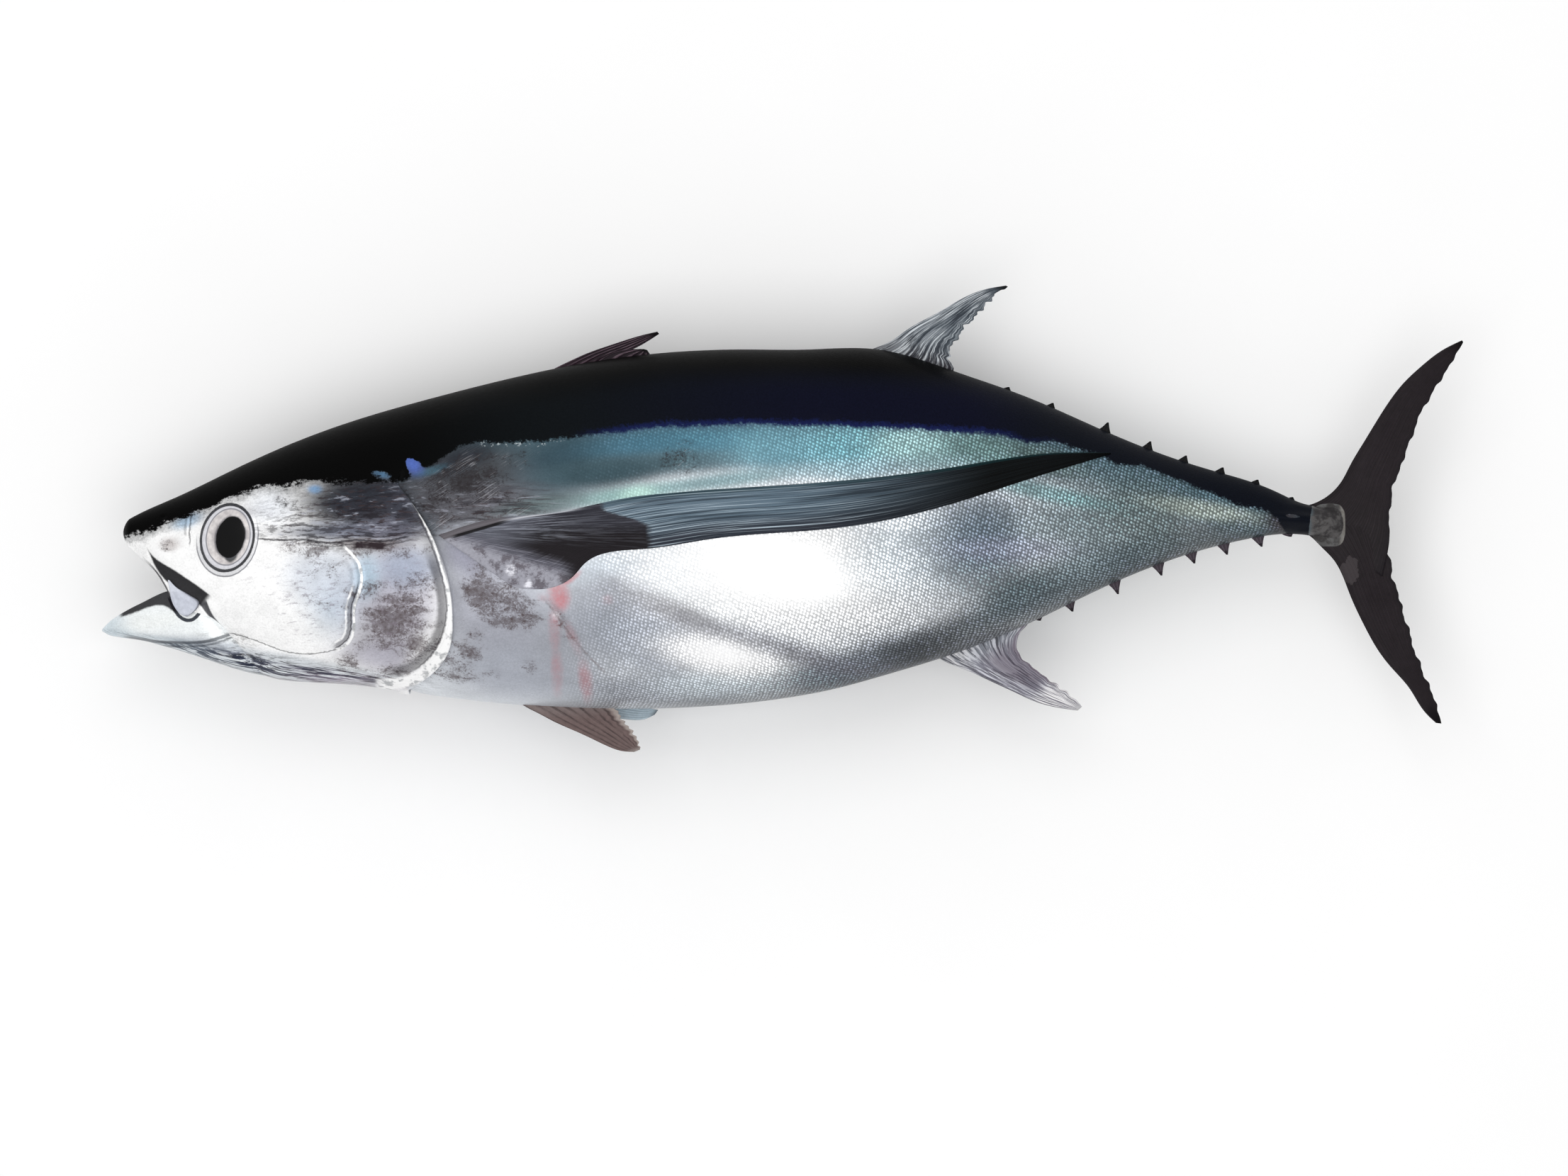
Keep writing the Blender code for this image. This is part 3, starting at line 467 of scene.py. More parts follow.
HEAD_PATCHES = (
    (168, -44, 24, 28, 0, (170, 187, 204), 0.8),
    (150, -30, 22, 20, 0, (212, 218, 228), 0.8),
    (206, -50, 36, 48, 0, (176, 174, 184), 1.0),
    (215, -24, 26, 16, 0, (158, 166, 184), 0.9),
    (186, -30, 10, 16, 0, (168, 190, 206), 0.8),
    (200, -86, 34, 12, -6, (176, 174, 186), 0.8),
    (200, 26, 46, 26, 0, (54, 58, 68), 1.0),
    (176, 22, 38, 18, 0, (44, 48, 56), 1.0),
    (196, 14, 42, 14, 0, (50, 50, 57), 0.85),
    (174, 1, 50, 7, 0, (104, 108, 122), 0.95),
    (206, 3, 24, 9, 0, (100, 100, 112), 0.9),
    (220, 20, 16, 22, 10, (66, 68, 78), 0.95),
    (119, 19, 16, 12, -8, (240, 244, 250), 0.8),
    (188, -8, 26, 5, 0, (104, 94, 94), 0.8),
    (150, 31, 5, 3, 0, (112, 156, 200), 0.8),
    (60, 9, 11, 5, 20, (186, 216, 242), 0.9),
    (44, 11, 6, 3, 0, (120, 104, 100), 0.5),
    (48, -8, 7, 5, 0, (196, 188, 186), 0.7),
    (90, 12, 26, 5, 8, (170, 170, 178), 0.5),
    (196, 42, 9, 3, -12, (86, 132, 170), 0.9),
    (219, 48, 9, 9, -50, (92, 116, 190), 1.0),
    (224, 38, 12, 7, 0, (80, 108, 146), 0.7),
    (236, 4, 12, 44, 20, (92, 92, 98), 0.7),
    (130, -90, 80, 5, -10, (206, 212, 218), 0.8),
    (108, -93, 50, 6, -13, (66, 72, 92), 0.95),
    (158, -99, 46, 4, -6, (92, 84, 104), 0.9),
    (176, -104, 50, 4, -3, (146, 132, 152), 0.8),
    (205, -106, 40, 5, 0, (176, 172, 178), 0.7),
    (40, -76, 40, 5, -10, (158, 174, 184), 0.7),
    # Painted highlight along the raised rim of the gill cover.
    (233, -84, 14, 26, -32, (246, 246, 246), 0.8),
)
# Ground colours. The pure white of the cheek and of the lower jaw is partly the pale silver skin and partly
# painted highlight, where the lamp shows in the wet skin.
SILVER, CHEEK, JAW_WHITE = (214, 218, 223), (255, 255, 255), (247, 251, 252)
UPPER_BAND = (78, 100, 110)
MOUTH_INSIDE = (58, 40, 40)

# How strong each marking is: (x, y, half length, half height, lean, strength).
MOTTLED = (
    (210, -52, 24, 14, -10, 0.8), (204, -68, 28, 15, 8, 0.9), (222, -80, 16, 14, 30, 0.75),
    (196, -40, 26, 10, 0, 0.5), (226, -36, 12, 16, 0, 0.5), (286, -44, 26, 12, -20, 0.75),
    (292, -60, 20, 10, 0, 0.7), (270, -24, 16, 8, 0, 0.4), (160, -28, 20, 12, 0, 0.42),
    (148, -10, 24, 8, 0, 0.5), (46, -8, 8, 5, 0, 0.55), (174, -92, 10, 9, 0, 0.85),
    (200, -98, 20, 6, 4, 0.6), (324, -62, 20, 8, -50, 0.35), (302, -94, 7, 6, 0, 0.5),
    (196, -12, 34, 7, 0, 0.65), (238, -80, 12, 22, 30, 0.55), (286, 4, 34, 14, 5, 0.6),
    (262, -70, 14, 20, 0, 0.25), (134, 20, 14, 10, -20, 0.5), (262, 24, 34, 22, 0, 0.5),
    (408, 52, 14, 14, 60, 0.5), (250, -100, 30, 8, 0, 0.5), (270, 48, 40, 10, 8, 0.45),
    (172, -60, 8, 14, 0, 0.35), (234, -92, 16, 8, -30, 0.45), (269, -44, 17, 15, -30, 1.0),
    (256, -82, 8, 16, 55, 0.7), (256, 38, 30, 18, 15, 0.8), (238, 18, 14, 22, 0, 0.7),
    (208, -60, 24, 13, -8, 1.0), (150, -48, 34, 26, 0, 0.22),
)
STREAKED = (
    (186, 16, 48, 22, 0, 1.0), (150, 8, 34, 14, 0, 0.7), (120, 14, 20, 12, 0, 0.3),
    (274, 18, 44, 14, 8, 0.8), (120, -94, 80, 8, -12, 1.0), (176, -103, 50, 6, -4, 0.8),
    (60, -72, 50, 8, -8, 0.6), (176, -4, 44, 8, 0, 0.9), (142, 3, 38, 9, 0, 0.85),
    (200, -1, 34, 7, 0, 0.9),
)
THROAT = (
    (108, -93, 50, 7, -13, 1.0), (155, -98, 50, 5, -6, 0.9), (62, -84, 26, 5, -14, 0.8),
    (190, -103, 30, 4, -2, 0.7), (30, -75, 30, 3, -10, 0.5),
)
BRUSHED = (
    (150, -46, 36, 34, 0, 0.8), (120, -30, 30, 20, 0, 0.4), (204, -50, 30, 50, 0, 0.7),
    (120, 18, 24, 14, 0, 0.5),
)
BLOODY = (
    (322, -43, 9, 14, 10, 0.85), (331, -32, 10, 3.0, 36, 0.9), (319, -68, 5.5, 24, 3, 0.5),
    (321, -98, 5.5, 22, 2, 0.55), (341, -104, 6, 20, 8, 0.6), (333, -76, 5, 20, 22, 0.45),
    (357, -47, 6, 5, 0, 0.4), (312, -46, 7, 4, -20, 0.45),
)
# Where the scales show painted green flashes of reflected light.
SHINY_GREEN = (
    (520, 66, 110, 12, 0, 0.8), (440, 58, 90, 20, 0, 0.6), (664, 29, 48, 10, -12, 0.9),
    (372, 30, 60, 12, 6, 0.5), (650, -30, 60, 20, 0, 0.5), (720, 10, 60, 20, -10, 0.4),
    (480, -104, 60, 10, 0, 0.5),
)
# Where the light runs the scales together.
SMOOTHED = (
    (478, -26, 52, 22, -14, 1.0), (438, -85, 26, 9, -6, 0.85), (330, -30, 40, 8, 6, 0.4),
    (370, 52, 70, 12, 6, 0.55), (420, -60, 50, 8, -22, 0.4),
)
# The lower edge of the dark back, and where its edge is broken by pale flecks.
BACK_EDGE = (
    (15.0, -3.0), (28.0, 0.0), (43.0, 5.0), (62.0, 12.5), (78.0, 18.0), (94.5, 26.0), (110.5, 32.5),
    (128.0, 33.0), (146.5, 35.0), (178.0, 35.0), (200.0, 36.0), (212.0, 36.0), (225.0, 43.0),
    (238.0, 51.0), (250.0, 60.0), (266.5, 63.5), (308.5, 64.5), (348.5, 69.5), (399.0, 75.5),
    (477.5, 76.5), (553.0, 74.0), (618.0, 70.5), (634.5, 69.0), (653.5, 63.0), (671.0, 64.0),
    (688.5, 59.5), (705.0, 54.5), (717.5, 48.0), (734.0, 46.5), (748.0, 41.5), (778.0, 29.5),
    (798.0, 21.0), (822.0, 15.5), (828.0, 11.0), (833.0, 3.0), (838.0, -3.0), (843.0, -9.0),
    (850.0, -9.0), (853.0, 18.0), (856.0, 28.0), (880.0, 30.0),
)
BACK_BREAKS = (
    (219.0, 48.0, 8.5, 4.2, -52, 20.0), (841.0, 12.0, 7.0, 2.0, -6, 22.0),
    (196.0, 42.0, 9.0, 3.5, -12, 7.0), (150.0, 32.0, 8.0, 4.5, 0, 5.0),
)

PATCH_POWER = 1.6  # how flat a patch is in its middle


def patch_share(patch, x, y):
    """1 in the middle of a leaning oval patch, fading to 0 round it."""
    cx, cy, reach_x, reach_y, lean = patch[:5]
    turn = math.radians(lean)
    along = ((x - cx) * math.cos(turn) + (y - cy) * math.sin(turn)) / reach_x
    across = ((y - cy) * math.cos(turn) - (x - cx) * math.sin(turn)) / reach_y
    return np.exp(-((along**2 + across**2) ** PATCH_POWER))


def painted(ground, patches, x, y, band=None):
    """The ground colour with every patch laid over it, as linear colour at each place. band is a share of
    the upper flank's colour that goes under the patches."""
    colour = np.broadcast_to(linear(*ground), x.shape + (3,)).copy()
    if band is not None:
        colour += band[..., None] * (linear(*UPPER_BAND) - colour)
    for patch in patches:
        share = (patch_share(patch, x, y) * patch[6])[..., None]
        colour += share * (linear(*patch[5]) - colour)
    return colour


def marked(patches, x, y):
    """How strong a marking is at each place: the most that any of its patches gives."""
    return np.max([patch_share(patch, x, y) * patch[5] for patch in patches], axis=0)


def under_back_edge(x, y):
    """How far below the lower edge of the dark back a place is, in millimetres."""
    knots = np.array(BACK_EDGE)
    depth = np.interp(x, knots[:, 0], knots[:, 1]) - y
    for patch in BACK_BREAKS:
        depth = depth + patch_share(patch, x, y) * patch[5]
    return depth


def arc_from_level(y, z):
    """How far round the skin a place is from its row's widest level, in millimetres."""
    step = np.sqrt(np.diff(y, axis=1) ** 2 + np.diff(z, axis=1) ** 2)
    arc = np.concatenate([np.zeros((len(y), 1)), np.cumsum(step, axis=1)], axis=1)
    return arc[:, arc.shape[1] // 2][:, None] - arc


def skin_marks(x, y, z, on_head, mouth):
    """Every painted attribute of the skin as {name: values}, on the left half of the body."""
    sx, sy = seen(x, y, z)
    depth = under_back_edge(sx, sy)
    band = 1 - smoothstep(depth, 14, 40) * smoothstep(sx, 300, 420)
    trunk = painted(SILVER, TRUNK_PATCHES, sx, sy, band * falling(depth, 40, 62))
    head = painted(CHEEK, HEAD_PATCHES, sx, sy)
    ahead = gill_edge(y) - x
    share = (smoothstep(ahead, -1.5, 0.5) if on_head else np.zeros_like(x))[..., None]
    colour = trunk + share * (head - trunk)
    # Painted shade: the lower flank is darkened towards the belly's edge as seen from above, where the skin
    # turns away from the light.
    inward = falling(np.abs(z) / half_width(x), 0.15, 0.72)
    under = smoothstep(x, 290, 480) * inward * (y < level(x))
    colour = colour * (1 - 0.62 * under[..., None])
    colour += mouth[..., None] * (linear(*MOUTH_INSIDE) - colour)
    upper = smoothstep(sy, 10, 25)
    scaly = 0.55 * smoothstep(x, 318, 370) + 0.45 * smoothstep(x, 380 + 60 * upper, 560 + 40 * upper)
    scaly = scaly * falling(x, 822, 842) * (1 - 0.5 * upper * falling(x, 440, 520))
    scaly = scaly * (1 - marked(SMOOTHED, sx, sy))
    return {
        "paint": colour,
        "marks_a": stacked(depth, marked(MOTTLED, sx, sy), marked(STREAKED, sx, sy)),
        "marks_b": stacked(np.clip(scaly, 0, 1), marked(SHINY_GREEN, sx, sy), marked(BLOODY, sx, sy)),
        "marks_c": stacked(x, arc_from_level(y, z), mouth),
        "marks_d": brushed_marks(sx, sy),
    }


def brushed_marks(sx, sy):
    """How strong the streaks of the throat and of the cheek are."""
    return stacked(marked(THROAT, sx, sy), marked(BRUSHED, sx, sy), 0 * sx)


def to_frame(points):
    return (np.asarray(points, float) + TO_FRAME) / 1000


def piece(name, points, faces, material, marks=None, node=None):
    """A smooth mesh that rides on the fish, from points in millimetres, with marks as its attributes."""
    mesh = bpy.data.meshes.new(name)
    mesh.from_pydata(to_frame(points).tolist(), [], [list(map(int, face)) for face in faces])
    mesh.validate()
    for key, values in (marks or {}).items():
        values = np.asarray(values, np.float32)
        if key == "paint":
            attribute = mesh.color_attributes.new(key, "FLOAT_COLOR", "POINT")
            values = np.concatenate([values, np.ones((len(values), 1), np.float32)], axis=1)
            attribute.data.foreach_set("color", values.ravel())
        else:
            mesh.attributes.new(key, "FLOAT_VECTOR", "POINT").data.foreach_set("vector", values.ravel())
    mesh.materials.append(material)
    mesh.shade_smooth()
    made = bpy.data.objects.new(name, mesh)
    bpy.context.scene.collection.objects.link(made)
    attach(made, "root")
    if node:
        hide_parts(node)
    return made


def grid_faces(rows, columns, closed=False, start=0):
    """Quads between the rows of a grid of points; closed joins the last column to the first."""
    i, j = np.meshgrid(np.arange(rows - 1), np.arange(columns if closed else columns - 1), indexing="ij")
    k = (j + 1) % columns
    row, next_row = i * columns, (i + 1) * columns
    quads = stacked(row + j, row + k, next_row + k, next_row + j)
    return (quads.reshape(-1, 4) + start).tolist()


def whole_ring(left, flip=None):
    """Rows round the whole body from rows round its left half; flip gives the right half's values."""
    right = left[:, -2:0:-1]
    return np.concatenate([left, right if flip is None else flip(right)], axis=1)


def on_floor(z):
    """Where the resting flank is pressed flat by the floor."""
    depth = z - FLOOR_LEVEL
    above = np.maximum(0, depth)
    return FLOOR_LEVEL + np.where(depth > 2, depth, above**2 / 8 + above / 2)


def skin_piece(name, grid, marks, material, node=None, tip=False, end=False):
    """A piece of the body's skin from a grid over its left half, which is mirrored for the right."""
    x, y, z = (whole_ring(part, (lambda r: -r) if k == 2 else None) for k, part in enumerate(grid))
    z = on_floor(z)
    rows, columns = x.shape
    points = stacked(x, y, z).reshape(-1, 3)
    whole = {}
    for key, left in marks.items():
        values = whole_ring(left)
        if key == "marks_b":
            values[:, left.shape[1]:, 2] = 0  # blood only on the flank that shows
        whole[key] = values.reshape(len(points), -1)
    faces = [quad[::-1] for quad in grid_faces(rows, columns, closed=True)]
    for wanted, row in ((tip, 0), (end, rows - 1)):
        if not wanted:
            continue
        ring = np.arange(columns) + row * columns
        middle = len(points)
        points = np.concatenate([points, points[ring].mean(axis=0)[None]])
        whole = {key: np.concatenate([v, v[ring].mean(axis=0)[None]]) for key, v in whole.items()}
        for a, b in zip(ring, np.roll(ring, -1)):
            faces.append((middle, a, b) if row == 0 else (middle, b, a))
    return piece(name, points, faces, material, marks=whole, node=node)


def fold_stations(q):
    """(stations, lifts) of the rows that make the gill cover's rim and the slit under it."""
    _, edge_y, _ = skin_grid(np.full((1, len(q)), GILL_X), q, lambda x, y, z: 0 * x)
    slit = has_gill(edge_y[0])
    stations = [GILL_X + (1 - slit) * plain + slit * folded for plain, folded, _ in GILL_FOLD]
    return np.array(stations), np.array([slit * lift for _, _, lift in GILL_FOLD])


def rounded_rows(reach, rows):
    """Places of rows over a rounded tip, closer together towards its end."""
    return reach * (1 - np.cos(np.linspace(0, np.pi / 2, rows)[1:]))


def line_marks(lines, sx, sy, fade=4.0):
    """For each line, how far every place lies from it, its share along it and its mask."""
    marks = {}
    for key, line in lines.items():
        offset, share, mask = beside(line, sx, sy, fade)
        marks[key] = stacked(np.clip(offset, -40, 40), share, mask)
    return marks


HEAD_LINES = {
    "preopercle": PREOPERCLE, "cheek_foot": CHEEK_FOOT, "behind_eye": BEHIND_EYE, "lip_groove": LIP_GROOVE,
    "lip_edge": LIP_EDGE, "mouth_crease": MOUTH_CREASE, "nostril": NOSTRIL, "inner_gill": INNER_GILL,
}
TRUNK_LINES = {"belly_fold": BELLY_FOLD, "axil_seam": AXIL_SEAM}


def build_skin(head_material, trunk_material):
    """The head's skin up to the bottom of the gill slit, and the trunk's from there to the tail."""
    q = np.linspace(0, 1, HEAD_SIDES // 2 + 1)
    snout = SNOUT_X + rounded_rows(SNOUT_ROUNDING, SNOUT_ROWS)
    along = np.concatenate([snout, np.linspace(snout[-1], GILL_X + GILL_FOLD[0][0], HEAD_ROWS)[1:-1]])
    folds, lifts = fold_stations(q)
    folds, lifts = folds[: DEEPEST_FOLD + 1], lifts[: DEEPEST_FOLD + 1]
    station = np.concatenate([np.repeat(along[:, None], len(q), axis=1), folds])
    lift = np.concatenate([np.zeros((len(along), len(q))), lifts])
    fold = np.concatenate([np.zeros(len(along)), np.ones(len(folds))])[:, None]
    x, y, z = skin_grid(station, q, head_relief, lift, fold)
    mouth = np.clip((q - LIP_SHARE - 0.01) / 0.03, 0, 1) * mouth_share(x)
    marks = skin_marks(x, y, z, True, mouth)
    marks.update(line_marks(HEAD_LINES, *seen(x, y, z)))
    marks["eye_place"] = stacked(*eye_place(x, y), 0 * x)
    skin_piece("head_skin", (x, y, z), marks, head_material, node="fish", tip=True)

    q = np.linspace(0, 1, TRUNK_SIDES // 2 + 1)
    folds, lifts = fold_stations(q)
    folds, lifts = folds[DEEPEST_FOLD:], lifts[DEEPEST_FOLD:]
    along = [GILL_X + GILL_FOLD[-1][0]]
    for stop, rows in TRUNK_ROWS:
        along.extend(np.linspace(along[-1], stop, rows)[1:])
    along = np.array(along[1:])
    station = np.concatenate([folds, np.repeat(along[:, None], len(q), axis=1)])
    lift = np.concatenate([lifts, np.zeros((len(along), len(q)))])
    fold = np.concatenate([np.ones(len(folds)), np.zeros(len(along))])[:, None]
    x, y, z = skin_grid(station, q, trunk_relief, lift, fold)
    taper = np.sqrt(np.clip(1 - smoothstep(x, TAIL_TAPER_FROM, TAIL_TAPER_TO) ** 2, 0, 1))
    z = z * (TAIL_THIN + (1 - TAIL_THIN) * taper)
    marks = skin_marks(x, y, z, False, np.zeros_like(x))
    marks.update(line_marks(TRUNK_LINES, *seen(x, y, z), 25))
    skin_piece("trunk_skin", (x, y, z), marks, trunk_material, node="fish", end=True)


JAW_PATCHES = (
    (8, -68, 14, 10, 0, (206, 220, 228), 0.9), (40, -76, 44, 4, -8, (170, 182, 190), 0.7),
    (90, -84, 40, 7, -12, (120, 128, 144), 0.8), (36, -62, 26, 6, 8, (244, 247, 246), 0.8),
    (66, -82, 20, 4, -14, (150, 162, 172), 0.7),
    (130, -88, 60, 5, -10, (206, 212, 218), 0.8), (108, -93, 50, 6, -13, (66, 72, 92), 0.95),
    (70, -86, 24, 3, -14, (96, 106, 120), 0.8),
)
FAR_FROM_BACK = 30.0  # the depth under the dark back that is given to all of the jaw
JAW_RIM = ((15.5, -59.0), (28.0, -54.5), (38.0, -51.5), (44.5, -52.0), (50.0, -55.5))
PLATE_EDGE = ((48.0, -46.0), (51.5, -54.0), (56.0, -59.5), (61.5, -61.3), (67.0, -58.0), (70.0, -53.0))


def build_jaw(material):
    """The lower jaw: a trough between two lips in front, which closes behind the corner of the mouth."""
    q = np.linspace(0, 1, JAW_SIDES // 2 + 1)
    tip_rows = rounded_rows(JAW_ROUNDING, JAW_TIP_ROWS)
    along = np.concatenate([tip_rows, np.linspace(JAW_ROUNDING, JAW_END, JAW_ROWS)[1:]])
    station = np.repeat(along[:, None], len(q), axis=1)
    shares = np.broadcast_to(q, station.shape)
    tip = tip_share(station, 0, JAW_ROUNDING)
    middle = (jaw_top(station) + jaw_under(station)) / 2
    high, low = (middle + (end(station) - middle) * tip for end in (jaw_under, jaw_top))
    wide = jaw_half_width(station) * tip
    y, z = half_section(shares, -high, -middle, -low, wide, JAW_ROUND, JAW_ROUND, mouth_share(station))
    y = -y
    sx, sy = seen(station, y, z)
    lip = hump(shares, LIP_SHARE, 0.05) * mouth_share(station) * 0.7 * smoothstep(station, 2, 12)
    offset, _, mask = beside(JAW_FOOT, sx, sy)
    grow = lip - mask * 0.5 * hump(offset, 0, 1.0) + 0.1 * ripple(sx, sy * 3, 20)
    out_y, out_z = (y - middle) / np.maximum(np.abs(low - high), 1), z / np.maximum(2 * wide, 1)
    size = np.maximum(np.hypot(out_y, out_z), 1e-9)
    y, z = y + grow * out_y / size, z + grow * out_z / size
    z[:, [0, -1]] = 0
    mouth = np.clip((shares - LIP_SHARE - 0.015) / 0.03, 0, 1) * mouth_share(station)
    colour = painted(JAW_WHITE, JAW_PATCHES, sx, sy)
    colour += mouth[..., None] * (linear(*MOUTH_INSIDE) - colour)
    streaks = marked(STREAKED, sx, sy) * smoothstep(sx, 60, 90)
    marks = {
        "paint": colour,
        "marks_a": stacked(np.full_like(y, FAR_FROM_BACK), 0 * y, streaks),
        "marks_b": stacked(0 * y, 0 * y, 0 * y),
        "marks_c": stacked(station, -y, mouth),
        "marks_d": brushed_marks(sx, sy),
        **line_marks({"jaw_foot": JAW_FOOT, "jaw_rim": JAW_RIM}, sx, sy),
        **line_marks({"plate_edge": PLATE_EDGE}, sx, sy, 1.5),
    }
    skin_piece("lower_jaw", (station, y, z), marks, material, node="fish", tip=True, end=True)


def eye_piece(name, side, material, node):
    """An oval lens in its socket: a clear dome over the iris, closed by a shallow cup behind."""
    dome_radius = np.sin(np.linspace(0, np.pi / 2, EYE_RINGS))[1:]
    radius = np.concatenate([dome_radius, np.linspace(1, 0.1, EYE_CUP_RINGS)[1:]])
    angle = np.linspace(0, 2 * np.pi, EYE_SPOKES, endpoint=False)
    r, a = np.meshgrid(radius, angle, indexing="ij")
    across, up = EYE_HALF_LENGTH * r * np.cos(a), EYE_HALF_HEIGHT * r * np.sin(a)
    x = EYE_X + across * math.cos(EYE_LEAN) + up * math.sin(EYE_LEAN)
    y = EYE_Y - across * math.sin(EYE_LEAN) + up * math.cos(EYE_LEAN)
    front = (np.arange(len(radius)) < len(dome_radius))[:, None]
    dome = np.where(front, EYE_BULGE, -EYE_SEAT) * np.sqrt(np.clip(1 - r**2, 0, 1))
    z = skin_height(x, y) + dome
    z0 = float(skin_height(EYE_X, EYE_Y))
    first_point, last_point = ((EYE_X, EYE_Y, side * (z0 + out)) for out in (EYE_BULGE, -EYE_SEAT))
    points = [first_point, *stacked(x, y, side * z).reshape(-1, 3).tolist(), last_point]
    faces = grid_faces(len(radius), EYE_SPOKES, closed=True, start=1)
    last = len(points) - 1
    for j in range(EYE_SPOKES):
        k = (j + 1) % EYE_SPOKES
        faces.append((0, 1 + k, 1 + j))
        faces.append((last, last - EYE_SPOKES + j, last - EYE_SPOKES + k))
    if side > 0:
        faces = [face[::-1] for face in faces]
    middle = (0.0, 0.0, 0.0)
    places = [middle, *stacked(r * np.cos(a), r * np.sin(a), 0 * r).reshape(-1, 3).tolist(), middle]
    return piece(name, points, faces, material, marks={"eye_at": places}, node=node)


# Fin edges from root to tip, as in the part's source: shares of LENGTH.
TAIL_UPPER = (
    ((0.8625, 0.0180), (0.8901, 0.0217), (0.9052, 0.0313), (0.9115, 0.0393), (0.9167, 0.0492),
     (0.9270, 0.0668), (0.9432, 0.0930), (0.9560, 0.1100), (0.9693, 0.1226), (0.9849, 0.1345),
     (0.9990, 0.1416)),
    ((0.9406, -0.0320), (0.9455, -0.0070), (0.9469, 0.0167), (0.9484, 0.0297), (0.9542, 0.0474),
     (0.9625, 0.0693), (0.9700, 0.0880), (0.9802, 0.1050), (0.9911, 0.1225), (1.0000, 0.1402)),
)
TAIL_LOWER = (
    ((0.8625, 0.0000), (0.8859, -0.0012), (0.8948, -0.0092), (0.9047, -0.0195), (0.9167, -0.0450),
     (0.9286, -0.0705), (0.9365, -0.0846), (0.9474, -0.0990), (0.9604, -0.1140), (0.9714, -0.1310),
     (0.9800, -0.1395)),
    ((0.9406, 0.0300), (0.9448, 0.0000), (0.9462, -0.0140), (0.9500, -0.0340), (0.9542, -0.0490),
     (0.9612, -0.0720), (0.9705, -0.0985), (0.9805, -0.1222), (0.9840, -0.1400)),
)
SECOND_DORSAL = (
    ((0.5560, 0.1200), (0.5640, 0.1340), (0.5719, 0.1375), (0.5800, 0.1413), (0.5900, 0.1484),
     (0.6150, 0.1625), (0.6400, 0.1762), (0.6560, 0.1806), (0.6640, 0.1818)),
    ((0.6200, 0.1040), (0.6265, 0.1210), (0.6240, 0.1320), (0.6300, 0.1430), (0.6430, 0.1584),
     (0.6560, 0.1722), (0.6655, 0.1810)),
)
FIRST_DORSAL_SPINES = (
    ((0.3180, 0.1120), (0.3330, 0.1212), (0.3420, 0.1256), (0.3550, 0.1315), (0.3750, 0.1386),
     (0.3950, 0.1449), (0.4080, 0.1480)),
    ((0.3700, 0.1130), (0.3720, 0.1240), (0.3790, 0.1300), (0.3900, 0.1350), (0.4020, 0.1415),
     (0.4093, 0.1463)),
)
FIRST_DORSAL_WEB = (
    ((0.3500, 0.1080), (0.3620, 0.1250), (0.3780, 0.1335), (0.3980, 0.1352)),
    ((0.4080, 0.1080), (0.4045, 0.1260), (0.4030, 0.1305), (0.4005, 0.1345)),
)
ANAL = (
    ((0.6060, -0.0850), (0.6182, -0.0938), (0.6365, -0.1014), (0.6536, -0.1092), (0.6714, -0.1174),
     (0.6839, -0.1232), (0.6969, -0.1272), (0.7167, -0.1304)),
    ((0.6870, -0.0560), (0.6785, -0.0688), (0.6735, -0.0760), (0.6729, -0.0820), (0.6755, -0.0892),
     (0.6839, -0.0970), (0.6969, -0.1074), (0.7125, -0.1188), (0.7200, -0.1275)),
)
LEFT_PELVIC = (
    ((0.3000, -0.1180), (0.3094, -0.1262), (0.3198, -0.1318), (0.3328, -0.1386), (0.3500, -0.1462),
     (0.3672, -0.1543), (0.3828, -0.1600), (0.3910, -0.1606)),
    ((0.3720, -0.1180), (0.3790, -0.1290), (0.3854, -0.1380), (0.3932, -0.1479), (0.3965, -0.1545),
     (0.3952, -0.1590)),
)
RIGHT_PELVIC = (
    ((0.3350, -0.1180), (0.3500, -0.1270), (0.3700, -0.1345), (0.3850, -0.1370), (0.3995, -0.1366),
     (0.4060, -0.1335)),
    ((0.3700, -0.1140), (0.3780, -0.1220), (0.3900, -0.1270), (0.4000, -0.1285), (0.4085, -0.1300)),
)
PECTORAL = (
    ((0.2500, -0.0020), (0.2690, 0.0050), (0.2950, 0.0110), (0.3320, 0.0140), (0.3700, 0.0220),
     (0.4470, 0.0310), (0.5380, 0.0372), (0.6300, 0.0485), (0.6950, 0.0580), (0.7400, 0.0585)),
    ((0.3050, -0.0400), (0.3270, -0.0410), (0.3480, -0.0320), (0.3560, -0.0230), (0.4000, -0.0120),
     (0.4470, -0.0050), (0.5380, 0.0030), (0.6320, 0.0235), (0.6780, 0.0385), (0.7400, 0.0575)),
)
LIP_PLATE = (
    ((0.0484, -0.0344), (0.0495, -0.0406), (0.0510, -0.0490), (0.0542, -0.0557), (0.0583, -0.0599),
     (0.0620, -0.0613)),
    ((0.0495, -0.0344), (0.0552, -0.0401), (0.0615, -0.0438), (0.0667, -0.0469), (0.0714, -0.0510),
     (0.0703, -0.0547), (0.0661, -0.0589), (0.0625, -0.0613)),
)
UPPER_FINLETS = (
    (0.6660, 0.0022), (0.6985, 0.0036), (0.7390, 0.0073), (0.7702, 0.0062), (0.7964, 0.0050),
    (0.8234, 0.0044), (0.8490, 0.0032), (0.8745, 0.0018),
)
LOWER_FINLETS = (
    (0.6890, 0.0018), (0.7130, 0.0068), (0.7464, 0.0097), (0.7784, 0.0090), (0.8026, 0.0082),
    (0.8266, 0.0082), (0.8520, 0.0076), (0.8734, 0.0022),
)

FINLET_BASE, FINLET_ROOT, FINLET_TIP = 0.0170, 0.0060, 0.0006
FINLET_THICK = 1.5
LIP_PLATE_OUT, LIP_PLATE_LEAN, LIP_PLATE_FRONT = 24.6, 0.27, 46.0  # how far it stands from the middle plane
THINNEST = 0.12  # half of a fin's least thickness, in millimetres


